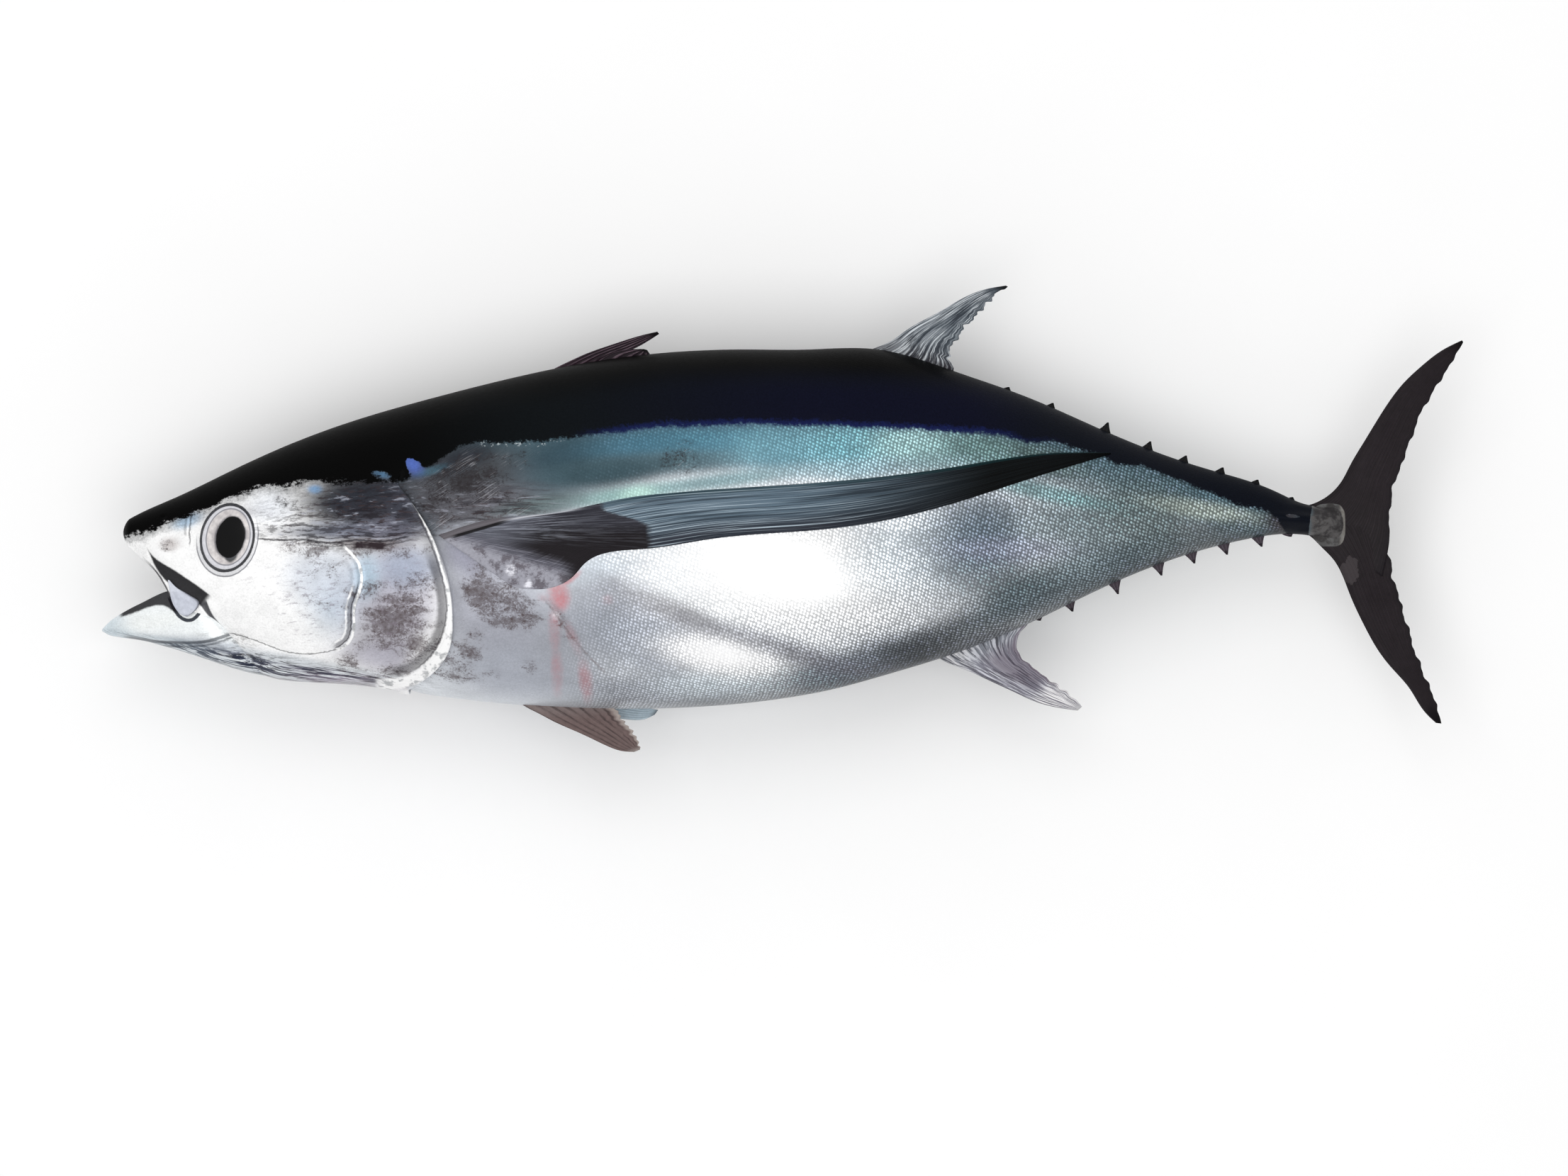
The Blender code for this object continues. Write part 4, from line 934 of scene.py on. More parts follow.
def fin(name, edges, thick, place, material, rows, columns, rays,
        ridge=0.25, torn=0.0, rim=0.3, tip_thick=0.35):
    """A fin between two edges, thickest just behind its front one, with a ridge along every ray.

    torn is how deep the rear margin is nicked, in millimetres; place(x, y, offset) sets it into space.
    """
    front, rear = (curve(points, LENGTH) for points in edges)
    down, across = np.linspace(0, 1, rows + 1), np.linspace(0, 1, columns + 1)
    start, stop = front(down)[:, None], rear(down)[:, None]
    span = np.maximum(np.linalg.norm(stop - start, axis=-1), 1e-6)
    nick = torn * (0.5 + 0.5 * ripple(down[:, None] * 100, 0 * down[:, None], 7, len(name)))
    nick = nick * smoothstep(down[:, None], 0.12, 0.25) * falling(down[:, None], 0.9, 1.0)
    reach = 1 - np.clip(nick / span, 0, 0.3)
    share = across[None] * (1 - (1 - reach) * smoothstep(across, 0.5, 1.0)[None])
    flat = start * (1 - share[..., None]) + stop * share[..., None]
    lens = np.sqrt(np.clip(across / 0.10, 0, 1)) * (1 - 0.72 * smoothstep(across, 0.08, 1.0))
    half = rim + (thick - rim) * lens[None] * (1 - (1 - tip_thick) * down)[:, None]
    ray = 0.5 + 0.5 * np.cos(2 * np.pi * rays * across)[None]
    fade = smoothstep(down, 0.03, 0.2)[:, None] * (1 - 0.5 * smoothstep(down, 0.7, 1.0)[:, None])
    inner = smoothstep(across, 0, 0.06) * falling(across, 0.97, 1)
    half = half + ridge * (ray - 0.5) * fade * inner[None]
    half = np.maximum(half, THINNEST)
    x, y = flat[..., 0], flat[..., 1]
    sides = [stacked(*place(x, y, side * half)).reshape(-1, 3) for side in (1, -1)]
    points = np.concatenate(sides)
    count = (rows + 1) * (columns + 1)
    top = grid_faces(rows + 1, columns + 1)
    faces = top + [[count + k for k in quad[::-1]] for quad in top]
    walk = [i * (columns + 1) for i in range(rows)] + [rows * (columns + 1) + j for j in range(columns)]
    walk += [i * (columns + 1) + columns for i in range(rows, 0, -1)] + list(range(columns, 0, -1))
    for a, b in zip(walk, walk[1:] + walk[:1]):
        faces.append((b, a, count + a, count + b))
    a, b, c = points[top[0][0]], points[top[0][1]], points[top[0][2]]
    if np.cross(b - a, c - b)[2] < 0:
        faces = [face[::-1] for face in faces]
    spot = stacked(across + 0 * x, down[:, None] + 0 * x, 0 * x).reshape(-1, 3)
    marks = {"fin_at": np.concatenate([spot, spot]), "seen_at": points}
    return piece(name, points, faces, material, marks=marks, node="fish")


def in_middle(wave=0.0, seed=0):
    """Places a fin in the middle plane, gently waved."""
    return lambda x, y, offset: (x, y, offset + wave * ripple(x, y, 70, seed))


def beside_middle(side, spread):
    """Places a fin beside the middle plane, spread outwards from the belly."""
    return lambda x, y, offset: (x, y, side * (8.0 + spread * np.maximum(0, belly(x) - y)) + offset)


def on_flank(side, sunk, lift=0.0):
    """Places a fin along a flank, its middle sunk under the skin; lift raises it towards the tail."""
    def place(x, y, offset):
        rise = lift * smoothstep(x, 330, 520) * (1 - 0.5 * smoothstep(x, 560, 700))
        z = side * (skin_height(x, y) - sunk + rise + offset)
        return x, y, on_floor(z)
    return place


def on_lip(side):
    """Places the end plate of the upper lip over the corner of the mouth, where it shows from above."""
    def place(x, y, offset):
        z = LIP_PLATE_OUT + LIP_PLATE_LEAN * (x - LIP_PLATE_FRONT)
        shrink = 1 - z / SEEN_FROM[2]
        x, y = SEEN_FROM[0] + (x - SEEN_FROM[0]) * shrink, SEEN_FROM[1] + (y - SEEN_FROM[1]) * shrink
        return x, y, side * z + offset
    return place


def finlet(name, tip, outline, way, material):
    """One small swept-back finlet on the back (way 1) or the belly (way -1)."""
    tip_x, rise = tip[0], way * tip[1]
    foot = [tip_x - FINLET_BASE * 0.75, tip_x + FINLET_BASE * 0.25]
    root = [float(outline(x * LENGTH)) / LENGTH - way * FINLET_ROOT for x in foot]
    tip_y = float(outline(tip_x * LENGTH)) / LENGTH + rise
    bends = (
        (foot[0] + FINLET_BASE * 0.45, tip_y - rise * 0.55),
        (tip_x + FINLET_BASE * 0.06, tip_y - rise * 0.50),
    )
    tips = (tip_x - FINLET_TIP, tip_y), (tip_x + FINLET_TIP, tip_y)
    edges = tuple(zip(zip(foot, root), bends, tips))
    return fin(name, edges, FINLET_THICK, in_middle(0.4, len(name)), material, 18, 10, 3, ridge=0.15)


BUMP_REACH = 0.001  # metres that a bump of 1 stands out


class Value:
    """A shader value that Python's signs work on; each sign adds one Math node."""

    def __init__(self, tree, socket):
        self.tree, self.socket = tree, socket

    def math(self, kind, *others):
        node = self.tree.nodes.new("ShaderNodeMath")
        node.operation = kind
        for socket, value in zip(node.inputs, (self, *others)):
            if isinstance(value, Value):
                self.tree.links.new(value.socket, socket)
            else:
                socket.default_value = value
        return Value(self.tree, node.outputs[0])

    def __add__(self, other):
        return self.math("ADD", other)

    def __sub__(self, other):
        return self.math("SUBTRACT", other)

    def __mul__(self, other):
        return self.math("MULTIPLY", other)

    def __rsub__(self, other):
        return self.math("MULTIPLY_ADD", -1.0, other)

    def __abs__(self):
        return self.math("ABSOLUTE")

    __radd__, __rmul__ = __add__, __mul__


class Shader:
    """The nodes of one material, made by functions."""

    def __init__(self, name, roughness=0.4, specular=0.5, coat=0.0, coat_roughness=0.1):
        self.material = bpy.data.materials.new(name)
        self.material.use_nodes = True
        self.tree = self.material.node_tree
        self.out = self.tree.nodes["Principled BSDF"]
        self.put("Roughness", roughness)
        self.put("Specular IOR Level", specular)
        self.put("Coat Weight", coat)
        self.put("Coat Roughness", coat_roughness)
        self.where = self.node("ShaderNodeTexCoord").outputs["Object"]

    def node(self, kind, **settings):
        made = self.tree.nodes.new(kind)
        for key, value in settings.items():
            setattr(made, key, value)
        return made

    def plug(self, socket, value):
        """Links a socket or sets it; a plain colour is three screen values."""
        if isinstance(value, Value):
            value = value.socket
        if isinstance(value, bpy.types.NodeSocket):
            self.tree.links.new(value, socket)
        elif hasattr(value, "__len__") and len(value) == 3 and socket.type == "RGBA":
            socket.default_value = (*map(float, linear(*value)), 1.0)
        else:
            socket.default_value = value

    def put(self, name, value):
        self.plug(self.out.inputs[name], value)

    def parts(self, name):
        """The three numbers of a vector attribute."""
        split = self.node("ShaderNodeSeparateXYZ")
        self.plug(split.inputs[0], self.node("ShaderNodeAttribute", attribute_name=name).outputs["Vector"])
        return [Value(self.tree, socket) for socket in split.outputs]

    def colour_of(self, name):
        return self.node("ShaderNodeAttribute", attribute_name=name).outputs["Color"]

    def vector(self, x, y, z=0.0):
        made = self.node("ShaderNodeCombineXYZ")
        for socket, value in zip(made.inputs, (x, y, z)):
            self.plug(socket, value)
        return made.outputs[0]

    def stretched(self, by):
        """Object coordinates times by along each axis."""
        made = self.node("ShaderNodeVectorMath", operation="MULTIPLY")
        self.plug(made.inputs[0], self.where)
        made.inputs[1].default_value = by
        return made.outputs[0]

    def noise(self, scale, detail=2.0, roughness=0.5, where=None, distortion=0.0):
        """Noise from 0 to 1, about 0.5."""
        made = self.node("ShaderNodeTexNoise")
        self.plug(made.inputs["Vector"], self.where if where is None else where)
        settings = {"Scale": scale, "Detail": detail, "Roughness": roughness, "Distortion": distortion}
        for key, value in settings.items():
            made.inputs[key].default_value = value
        return Value(self.tree, made.outputs[0])

    def cells(self, where, randomness):
        """(distance from the middle of the nearest cell, a random number for the cell)."""
        made = self.node("ShaderNodeTexVoronoi", voronoi_dimensions="2D")
        self.plug(made.inputs["Vector"], where)
        made.inputs["Scale"].default_value = 1.0
        made.inputs["Randomness"].default_value = randomness
        split = self.node("ShaderNodeSeparateColor")
        self.plug(split.inputs[0], made.outputs["Color"])
        return Value(self.tree, made.outputs["Distance"]), Value(self.tree, split.outputs[0])

    def smooth(self, value, low, high):
        """0 up to low, 1 from high on, smooth between them."""
        made = self.node("ShaderNodeMapRange", interpolation_type="SMOOTHSTEP")
        self.plug(made.inputs["Value"], value)
        made.inputs["From Min"].default_value, made.inputs["From Max"].default_value = low, high
        return Value(self.tree, made.outputs["Result"])

    def falling(self, value, low, high):
        """1 up to low, 0 from high on, smooth between them."""
        return 1.0 - self.smooth(value, low, high)

    def mix(self, share, under, over):
        """under where share is 0, over where it is 1; a plain colour is three screen values."""
        made = self.node("ShaderNodeMix", data_type="RGBA")
        for socket, value in zip((made.inputs[0], made.inputs[6], made.inputs[7]), (share, under, over)):
            self.plug(socket, value)
        return made.outputs[2]

    def times(self, colour, value):
        """The colour made lighter or darker."""
        made = self.node("ShaderNodeVectorMath", operation="SCALE")
        self.plug(made.inputs[0], colour)
        self.plug(made.inputs["Scale"], value)
        return made.outputs[0]

    def stripe(self, offset, half, soft):
        """1 on a line, 0 beyond half plus soft from it."""
        return self.falling(abs(offset), half, half + soft)

    def bump(self, height, strength):
        made = self.node("ShaderNodeBump")
        made.inputs["Strength"].default_value = strength
        made.inputs["Distance"].default_value = BUMP_REACH
        self.plug(made.inputs["Height"], height)
        self.put("Normal", made.outputs[0])


# Colours of the skin's markings.
BACK_BLACK, BACK_SLATE, BACK_NAVY, COBALT = (2, 2, 2), (12, 16, 19), (11, 13, 30), (30, 42, 104)
BROWN_MARK, DARK_LINE, BLOOD = (86, 76, 78), (36, 33, 40), (182, 82, 86)
GREEN_FLASH, VIOLET_FLASH = (130, 226, 206), (190, 196, 236)


def skin_material(name, lines):
    """Wet scaled skin.

    lines(shader, colour, fine noise) draws what only one piece shows. It gives the new colour and a height.
    """
    s = Shader(name, specular=0.03, coat=0.02, coat_roughness=0.15)
    depth, mottled, streaked = s.parts("marks_a")
    scaly, green, blood = s.parts("marks_b")
    along, around, mouth = s.parts("marks_c")
    colour = s.colour_of("paint")
    broad, middling = s.noise(14, 3), s.noise(70, 3)
    fine, specks = s.noise(330, 2), s.noise(700, 4, 0.75)
    clouds = s.noise(30, 5, 0.65, s.stretched((0.5, 1.0, 1.0)))
    drawn = s.noise(1.0, 4, 0.62, s.stretched((30, 330, 330)))

    # Soft unevenness of the ground.
    uneven = 0.34 + 0.42 * clouds + 0.26 * middling + 0.64 * specks
    colour = s.times(colour, uneven)

    # Scales: beads in slanting columns, with dark gaps between. Each bead is lightened as a painted glint
    # where light catches the scale, and the green and violet flashes on the beads are painted reflections.
    column = (along - around * 0.20) * (1 / 2.5) + (middling - 0.5) * 1.1 + (broad - 0.5) * 2.0
    distance, chance = s.cells(s.vector(column, around * (1 / 2.3) + column * 0.5 + broad * 1.2), 0.34)
    crest = 0.5 + 0.5 * (column * (2 * math.pi)).math("COSINE")
    dash = s.falling(distance, 0.10, 0.52) * (0.45 + 0.55 * crest)
    bright = (0.7 + 1.5 * chance) * (0.6 + 0.9 * s.smooth(clouds, 0.3, 0.6))
    colour = s.times(colour, 1.0 + scaly * (dash * bright - 0.44))
    flash = s.smooth(chance, 0.55, 0.9) * dash * s.smooth(broad, 0.35, 0.6)
    colour = s.mix(flash * green * scaly * 0.45, colour, GREEN_FLASH)
    colour = s.mix(s.smooth(chance, 0.7, 0.95) * dash * scaly * (1.0 - green) * 0.25, colour, VIOLET_FLASH)

    # Brown mottling, fine streaks and pale scratches.
    blotch = s.noise(80, 7, 0.74, s.stretched((0.8, 1.3, 1.0)), 0.5)
    worn = blotch * 0.58 + specks * 0.42
    fleck = s.smooth(worn + mottled * 0.20, 0.555, 0.69) * s.smooth(mottled, 0.02, 0.25)
    mark = s.mix(s.smooth(around, 6, 26), BROWN_MARK, (46, 42, 44))
    colour = s.mix(fleck * (0.35 + 0.9 * fine), colour, mark)
    hair = s.smooth(drawn, 0.52, 0.60)
    colour = s.mix(streaked * hair * 0.85, colour, (38, 35, 40))
    thread = s.smooth(s.noise(1.0, 3, 0.6, s.stretched((16, 620, 620))), 0.55, 0.62)
    colour = s.mix(streaked * thread * 0.8, colour, (60, 50, 52))
    colour = s.mix(streaked * s.falling(drawn, 0.34, 0.44) * 0.6, colour, (178, 182, 196))
    crossed = s.vector(along * 0.017 + around * 0.010, along * 0.30 - around * 0.52)
    scratch = s.stripe(s.noise(1.0, 1, 0.5, crossed) - 0.5, 0.004, 0.012) * s.smooth(middling, 0.5, 0.6)
    colour = s.mix(scratch * mottled * 0.4, colour, (206, 206, 212))

    # Blood.
    soaked = s.smooth(blood * (0.3 + 1.2 * s.noise(60, 6, 0.7)) + (specks - 0.5) * 0.35, 0.12, 1.0)
    colour = s.mix(soaked * (0.45 + 0.4 * fine), colour, BLOOD)

    colour, height = lines(s, colour, fine)

    # The dark back, ragged along its edge, with a cobalt fringe.
    on_nape = s.falling(along, 185, 225)
    ragged = depth + (specks - 0.5) * 7.0 + (middling - 0.5) * 4.0 + (chance - 0.5) * 1.4
    ragged = ragged + ((drawn - 0.5) * 12.0 + (clouds - 0.5) * 10.0) * on_nape
    on_back = s.falling(ragged, -1.4, 1.2)
    rear = s.smooth(along, 300, 520) * (1.0 - s.smooth(along, 600, 680) * 0.65)
    inner = s.falling(depth * -1.0, 22, 46)
    dark = s.mix(inner * s.smooth(along, 200, 330), BACK_BLACK, BACK_SLATE)
    dark = s.mix(rear * inner, dark, BACK_NAVY)
    dark = s.times(dark, 0.4 + 1.2 * specks)
    reach = s.smooth(along, 330, 370) * s.falling(along, 600, 690)
    dark = s.mix(s.falling(abs(ragged + 1.5), 0.0, 4.0) * reach * 0.40, dark, COBALT)
    stray = s.falling(ragged, 0.0, 3.5) * reach * 0.5 * s.smooth(specks, 0.42, 0.6)
    colour = s.mix(stray, colour, COBALT)
    dots = s.stripe(ragged - 1.2, 0.4, 0.8) * s.smooth(along, 266, 272) * s.falling(along, 318, 330)
    colour = s.mix(dots * s.smooth(fine, 0.52, 0.60) * 0.7, colour, (196, 206, 210))
    near_back = s.falling(ragged, -1.0, 9.0) * on_nape
    colour = s.mix(near_back * 0.55, colour, (44, 46, 52))
    colour = s.mix(on_back, colour, dark)
    s.put("Base Color", colour)

    covered = 1.0 - on_back
    silver = covered * (1.0 - fleck * 0.8) * (1.0 - mouth)
    s.put("Metallic", silver * 0.28)
    s.put("Roughness", 0.54 - 0.22 * silver + 0.10 * (fine - 0.5) + 0.12 * fleck)
    beads = dash * scaly * (0.25 + 0.75 * covered) * 0.24
    s.bump(beads + specks * 0.07 + fine * 0.08 + hair * streaked * 0.10 + height, 0.9)
    return s.material


def inked(s, colour, height, plan, ink_colour, jitter):
    """Thin lines over a colour, one for each row of the plan: (attribute, offset, half width, softness,
    strength, height, first share, last share)."""
    for name, offset, half, soft, strength, raise_by, first, last in plan:
        away, share, mask = s.parts(name)
        ink = s.stripe(away - offset + jitter, half, soft) * mask
        if first > 0:
            ink = ink * s.smooth(share, first, first + 0.12)
        if last < 1:
            ink = ink * s.falling(share, last, last + 0.1)
        colour = s.mix(ink * strength, colour, ink_colour)
        height = height + ink * raise_by
    return colour, height


def brushed(s, colour):
    """Streaks that run down along the throat and up across the cheek."""
    throat, cheek, _ = s.parts("marks_d")
    split = s.node("ShaderNodeSeparateXYZ")
    s.plug(split.inputs[0], s.where)
    x, y, z = (Value(s.tree, socket) for socket in split.outputs)
    down = s.noise(1.0, 4, 0.65, s.vector(x * 18.0, (y + x * 0.21) * 430.0, z * 430.0))
    colour = s.mix(throat * s.falling(down, 0.44, 0.50) * 0.9, colour, (44, 50, 66))
    colour = s.mix(throat * s.smooth(down, 0.50, 0.56) * 0.9, colour, (232, 238, 242))
    up = s.noise(1.0, 5, 0.7, s.vector(x * 90.0 + y * 20.0, (y - x * 0.18) * 420.0, z * 420.0))
    return s.mix(cheek * s.smooth(up, 0.55, 0.64) * 0.6, colour, (138, 130, 142))


def head_lines(s, colour, fine):
    """The fine lines of the head, each broken up a little by noise."""
    colour = brushed(s, colour)
    jitter = (fine - 0.5) * 1.8
    broken = s.smooth(s.noise(150, 2), 0.32, 0.55)
    # The wide dark bands beside the preopercle's ridge and inside the gill cover's rim are painted shade in
    # the grooves there.
    colour, height = inked(s, colour, 0.0, (
        ("behind_eye", 0.0, 0.25, 0.9, 0.8, -0.2, -1, 2),
        ("behind_eye", -2.6, 0.15, 0.6, 0.6, 0.0, 0.3, 2),
        ("behind_eye", 3.2, 0.15, 0.6, 0.6, 0.0, 0.2, 2),
        ("cheek_foot", 0.0, 0.1, 0.6, 0.65, -0.25, -1, 2),
        ("nostril", 0.0, 0.2, 0.7, 0.6, -0.2, -1, 2),
        ("nostril", -3.2, 0.4, 0.9, 0.35, 0.0, -1, 0.7),
        ("preopercle", -2.6, 0.7, 1.5, 0.50, -0.3, 0.35, 2),
        ("preopercle", -1.5, 0.1, 0.6, 0.75, 0.0, 0.3, 2),
        ("inner_gill", -4.5, 1.4, 4.0, 0.62, -0.2, 0.28, 0.9),
        ("inner_gill", -1.6, 0.2, 0.8, 0.6, 0.0, 0.1, 0.8),
    ), DARK_LINE, jitter)
    # Pale lines along the raised ridges of the preopercle and along the gill cover's rim, with the wide pale
    # band on the rim: painted highlights where these ridges catch the light.
    pale = s.mix(s.smooth(broken * 0.5 + fine, 0.45, 0.9), (178, 180, 182), (255, 255, 255))
    colour, height = inked(s, colour, height, (
        ("preopercle", 0.6, 0.5, 0.9, 0.95, 0.25, -1, 2),
        ("preopercle", -5.0, 0.3, 0.8, 0.7, 0.2, 0.35, 2),
        ("inner_gill", 0.2, 0.35, 0.8, 0.85, 0.25, -1, 0.75),
        ("inner_gill", 4.5, 2.6, 2.8, 0.9, 0.2, 0.42, 0.97),
    ), pale, jitter * 0.7)

    # Dark squares under the line behind the eye.
    away, share, _ = s.parts("behind_eye")
    squares = s.smooth(share, 0.62, 0.66) * s.falling(share, 0.84, 0.88) * s.smooth(away, -6.0, -5.0)
    colour = s.mix(squares * s.falling(away, -1.4, -0.4) * (0.4 + 0.6 * broken), colour, (50, 42, 46))

    # Groove and edge of the upper lip, and the crease at the corner of the mouth. The groove's near-black is
    # painted shade in the groove between the lip's end plate and the cheek.
    away, share, mask = s.parts("lip_groove")
    wide = s.smooth(share, 0.0, 0.55) * 5.2
    groove = s.falling(abs(away + jitter * 0.3) - wide, -0.9, 0.5) * mask * s.smooth(share, 0.0, 0.05)
    colour = s.mix(groove * 0.97, colour, s.mix(fine, (8, 7, 10), (26, 25, 31)))
    away, share, mask = s.parts("mouth_crease")
    crease = s.falling(abs(away) + share * 2.8, 1.9, 3.0) * mask
    colour = s.mix(crease * 0.92, colour, (40, 40, 48))
    away, share, mask = s.parts("lip_edge")
    lip = s.falling(abs(away + jitter * 0.3), 0.4, 1.2) * mask * s.smooth(share, 0.2, 0.6)
    colour = s.mix(lip * 0.9, colour, (40, 38, 46))

    # Rim of the eye socket.
    across, up, _ = s.parts("eye_place")
    out = (across * across + up * up).math("SQRT") + (fine - 0.5) * 0.03
    low = s.falling(up - across * 0.4, -0.3, 0.55)
    shade = s.falling(abs(out - 1.14), 0.03, 0.13) * low
    colour = s.mix(shade * 0.35, colour, (150, 152, 164))
    colour = s.mix(s.stripe(out - 1.215, 0.008, 0.03) * low * 0.75, colour, (92, 92, 102))
    colour = s.mix(s.stripe(out - 1.03, 0.045, 0.03) * 0.95, colour, (34, 36, 42))
    return colour, height - groove * 0.3 - crease * 0.3 - lip * 0.1


def trunk_lines(s, colour, fine):
    """The fold along the belly in painted shade, the seam behind the side fin and the bony plate at the
    tail's root.
    """
    away, share, mask = s.parts("belly_fold")
    wobble = s.noise(120, 4, 0.65)
    # Painted shade in the fold across the belly.
    fold = s.falling(abs(away + (wobble - 0.5) * 9.0), 0.5, 9.5) * mask
    colour = s.mix(fold * (0.25 + 0.3 * share) * s.smooth(wobble + fine, 0.75, 1.25), colour, (92, 90, 96))
    off, part, there = s.parts("axil_seam")
    shown = there * s.smooth(wobble, 0.35, 0.55) * s.smooth(part, 0.05, 0.3)
    seam = s.stripe(off + (fine - 0.5) * 2.4, 0.1, 1.3) * shown
    colour = s.mix(seam * 0.45, colour, (110, 92, 92))
    along, _, _ = s.parts("marks_c")
    blotch = s.noise(110, 5, 0.65)
    bone = s.smooth(along + (blotch - 0.5) * 8.0, 850.0, 854.0)
    colour = s.mix(bone, colour, s.mix(s.smooth(blotch, 0.4, 0.6), (56, 54, 55), (92, 90, 90)))
    return colour, fold * -0.15 + seam * -0.25


def jaw_lines(s, colour, fine):
    """The lines along the lower jaw and round the end plate of the upper lip."""
    colour = brushed(s, colour)
    jitter = (fine - 0.5) * 1.2
    colour, height = inked(s, colour, 0.0, (
        ("jaw_foot", 0.3, 0.5, 1.2, 0.75, -0.3, 0.1, 2), ("jaw_foot", -2.2, 0.2, 1.0, 0.6, 0.0, 0.35, 2),
        ("plate_edge", -0.3, 0.9, 0.7, 0.97, 0.0, -1, 2),
    ), (48, 52, 62), jitter * 0.5)
    off, _, there = s.parts("jaw_rim")
    rim = s.smooth(off + jitter, -0.5, 1.2) * there
    colour = s.mix(rim * 0.95, colour, s.mix(fine, (12, 11, 14), (38, 35, 41)))
    return colour, height


def eye_material(name):
    """Black pupil, pale iris and dark ring under a clear wet surface. Places are shares of the half axes."""
    s = Shader(name, roughness=0.3, specular=0.12, coat=0.12, coat_roughness=0.03)
    x, y, _ = s.parts("eye_at")
    fine, broad = s.noise(500, 3), s.noise(120, 3)
    wobble = broad - 0.5

    def oval(cx, cy, rx, ry, rough):
        across, up = (x - cx) * (1 / rx), (y - cy) * (1 / ry)
        return (across * across + up * up).math("SQRT") + wobble * rough

    colour = s.mix(fine, (196, 196, 204), (236, 236, 240))
    iris = oval(0.03, 0.03, 0.86, 0.88, 0.05)
    silver = s.mix(s.smooth(broad, 0.35, 0.65), (180, 175, 176), (226, 221, 220))
    silver = s.times(silver, 0.86 + 0.28 * fine)
    colour = s.mix(s.stripe(iris - 1.0, 0.015, 0.03) * 0.7, colour, (96, 95, 102))
    colour = s.mix(s.falling(iris, 0.965, 0.99), colour, silver)
    stain = oval(0.28, -0.52, 0.32, 0.24, 0.4)
    colour = s.mix(s.falling(stain, 0.62, 1.0) * 0.9, colour, (38, 46, 46))
    halo = oval(0.12, 0.03, 0.65, 0.74, 0.16)
    colour = s.mix(s.falling(halo, 0.86, 1.0) * 0.8, colour, (84, 84, 90))
    pupil = oval(0.13, 0.04, 0.58, 0.69, 0.16)
    colour = s.mix(s.falling(pupil, 0.93, 0.985), colour, (4, 4, 5))
    s.put("Base Color", colour)
    s.bump(fine * 0.03, 0.4)
    return s.material


def fin_material(name, root, web, ray_colour, tip, rays, tip_from,
                 edge=None, gloss=0.42, metallic=0.0, ray_share=0.5, special=None):
    """Wet fin skin with fine rays from root to tip.

    special(shader, colour, ...) adds what one fin alone shows. It takes what it needs by name: the place
    (x, y), the shares across and down the fin, and the noises fine, along and hairs.
    """
    s = Shader(name, roughness=gloss, specular=0.06, coat=0.04, coat_roughness=0.2)
    across, down, _ = s.parts("fin_at")
    x, y, _ = s.parts("seen_at")
    fine, broad = s.noise(420, 3), s.noise(60, 3)
    along = s.noise(1.0, 4, 0.65, s.vector(across * (rays * 1.6), down * 4.0))
    hairs = s.noise(1.0, 2, 0.6, s.vector(across * (rays * 2.6), down * 3.0, 4.0))
    wave = (across * (rays * 2 * math.pi) + (broad - 0.5) * 1.5).math("COSINE")
    ray = s.smooth(wave, 0.0, 0.95)
    colour = s.mix(s.smooth(down, 0.12, 0.42), root, web)
    colour = s.mix(ray * s.smooth(along, 0.35, 0.62) * ray_share, colour, ray_colour)
    if edge is not None:
        colour = s.mix(s.smooth(across, 0.86, 0.99) * 0.8, colour, edge)
    colour = s.mix(s.smooth(down + (broad - 0.5) * 0.1, tip_from, min(1.0, tip_from + 0.1)), colour, tip)
    colour = s.times(colour, 0.46 + 0.44 * fine + 0.34 * along + 0.30 * hairs)
    if special:
        colour = special(s, colour, x=x, y=y, across=across, down=down, fine=fine, along=along, hairs=hairs)
    s.put("Base Color", colour)
    s.put("Roughness", gloss - 0.08 * ray + 0.12 * (fine - 0.5))
    s.put("Metallic", metallic)
    s.bump(ray * 0.10 + fine * 0.10 + along * 0.14 + hairs * 0.08, 0.9)
    return s.material


SIDE_FIN_ROOT, SIDE_FIN_SLOPE = (250.0, 4.5), 0.148  # where its front edge begins, and how steeply it rises
SIDE_FIN_STEP = (384.0, 390.0)  # x over which brown turns to slate blue
WHITE_SPOTS = ((290.5, -26.5, 5.0), (302.5, -36.0, 4.0))


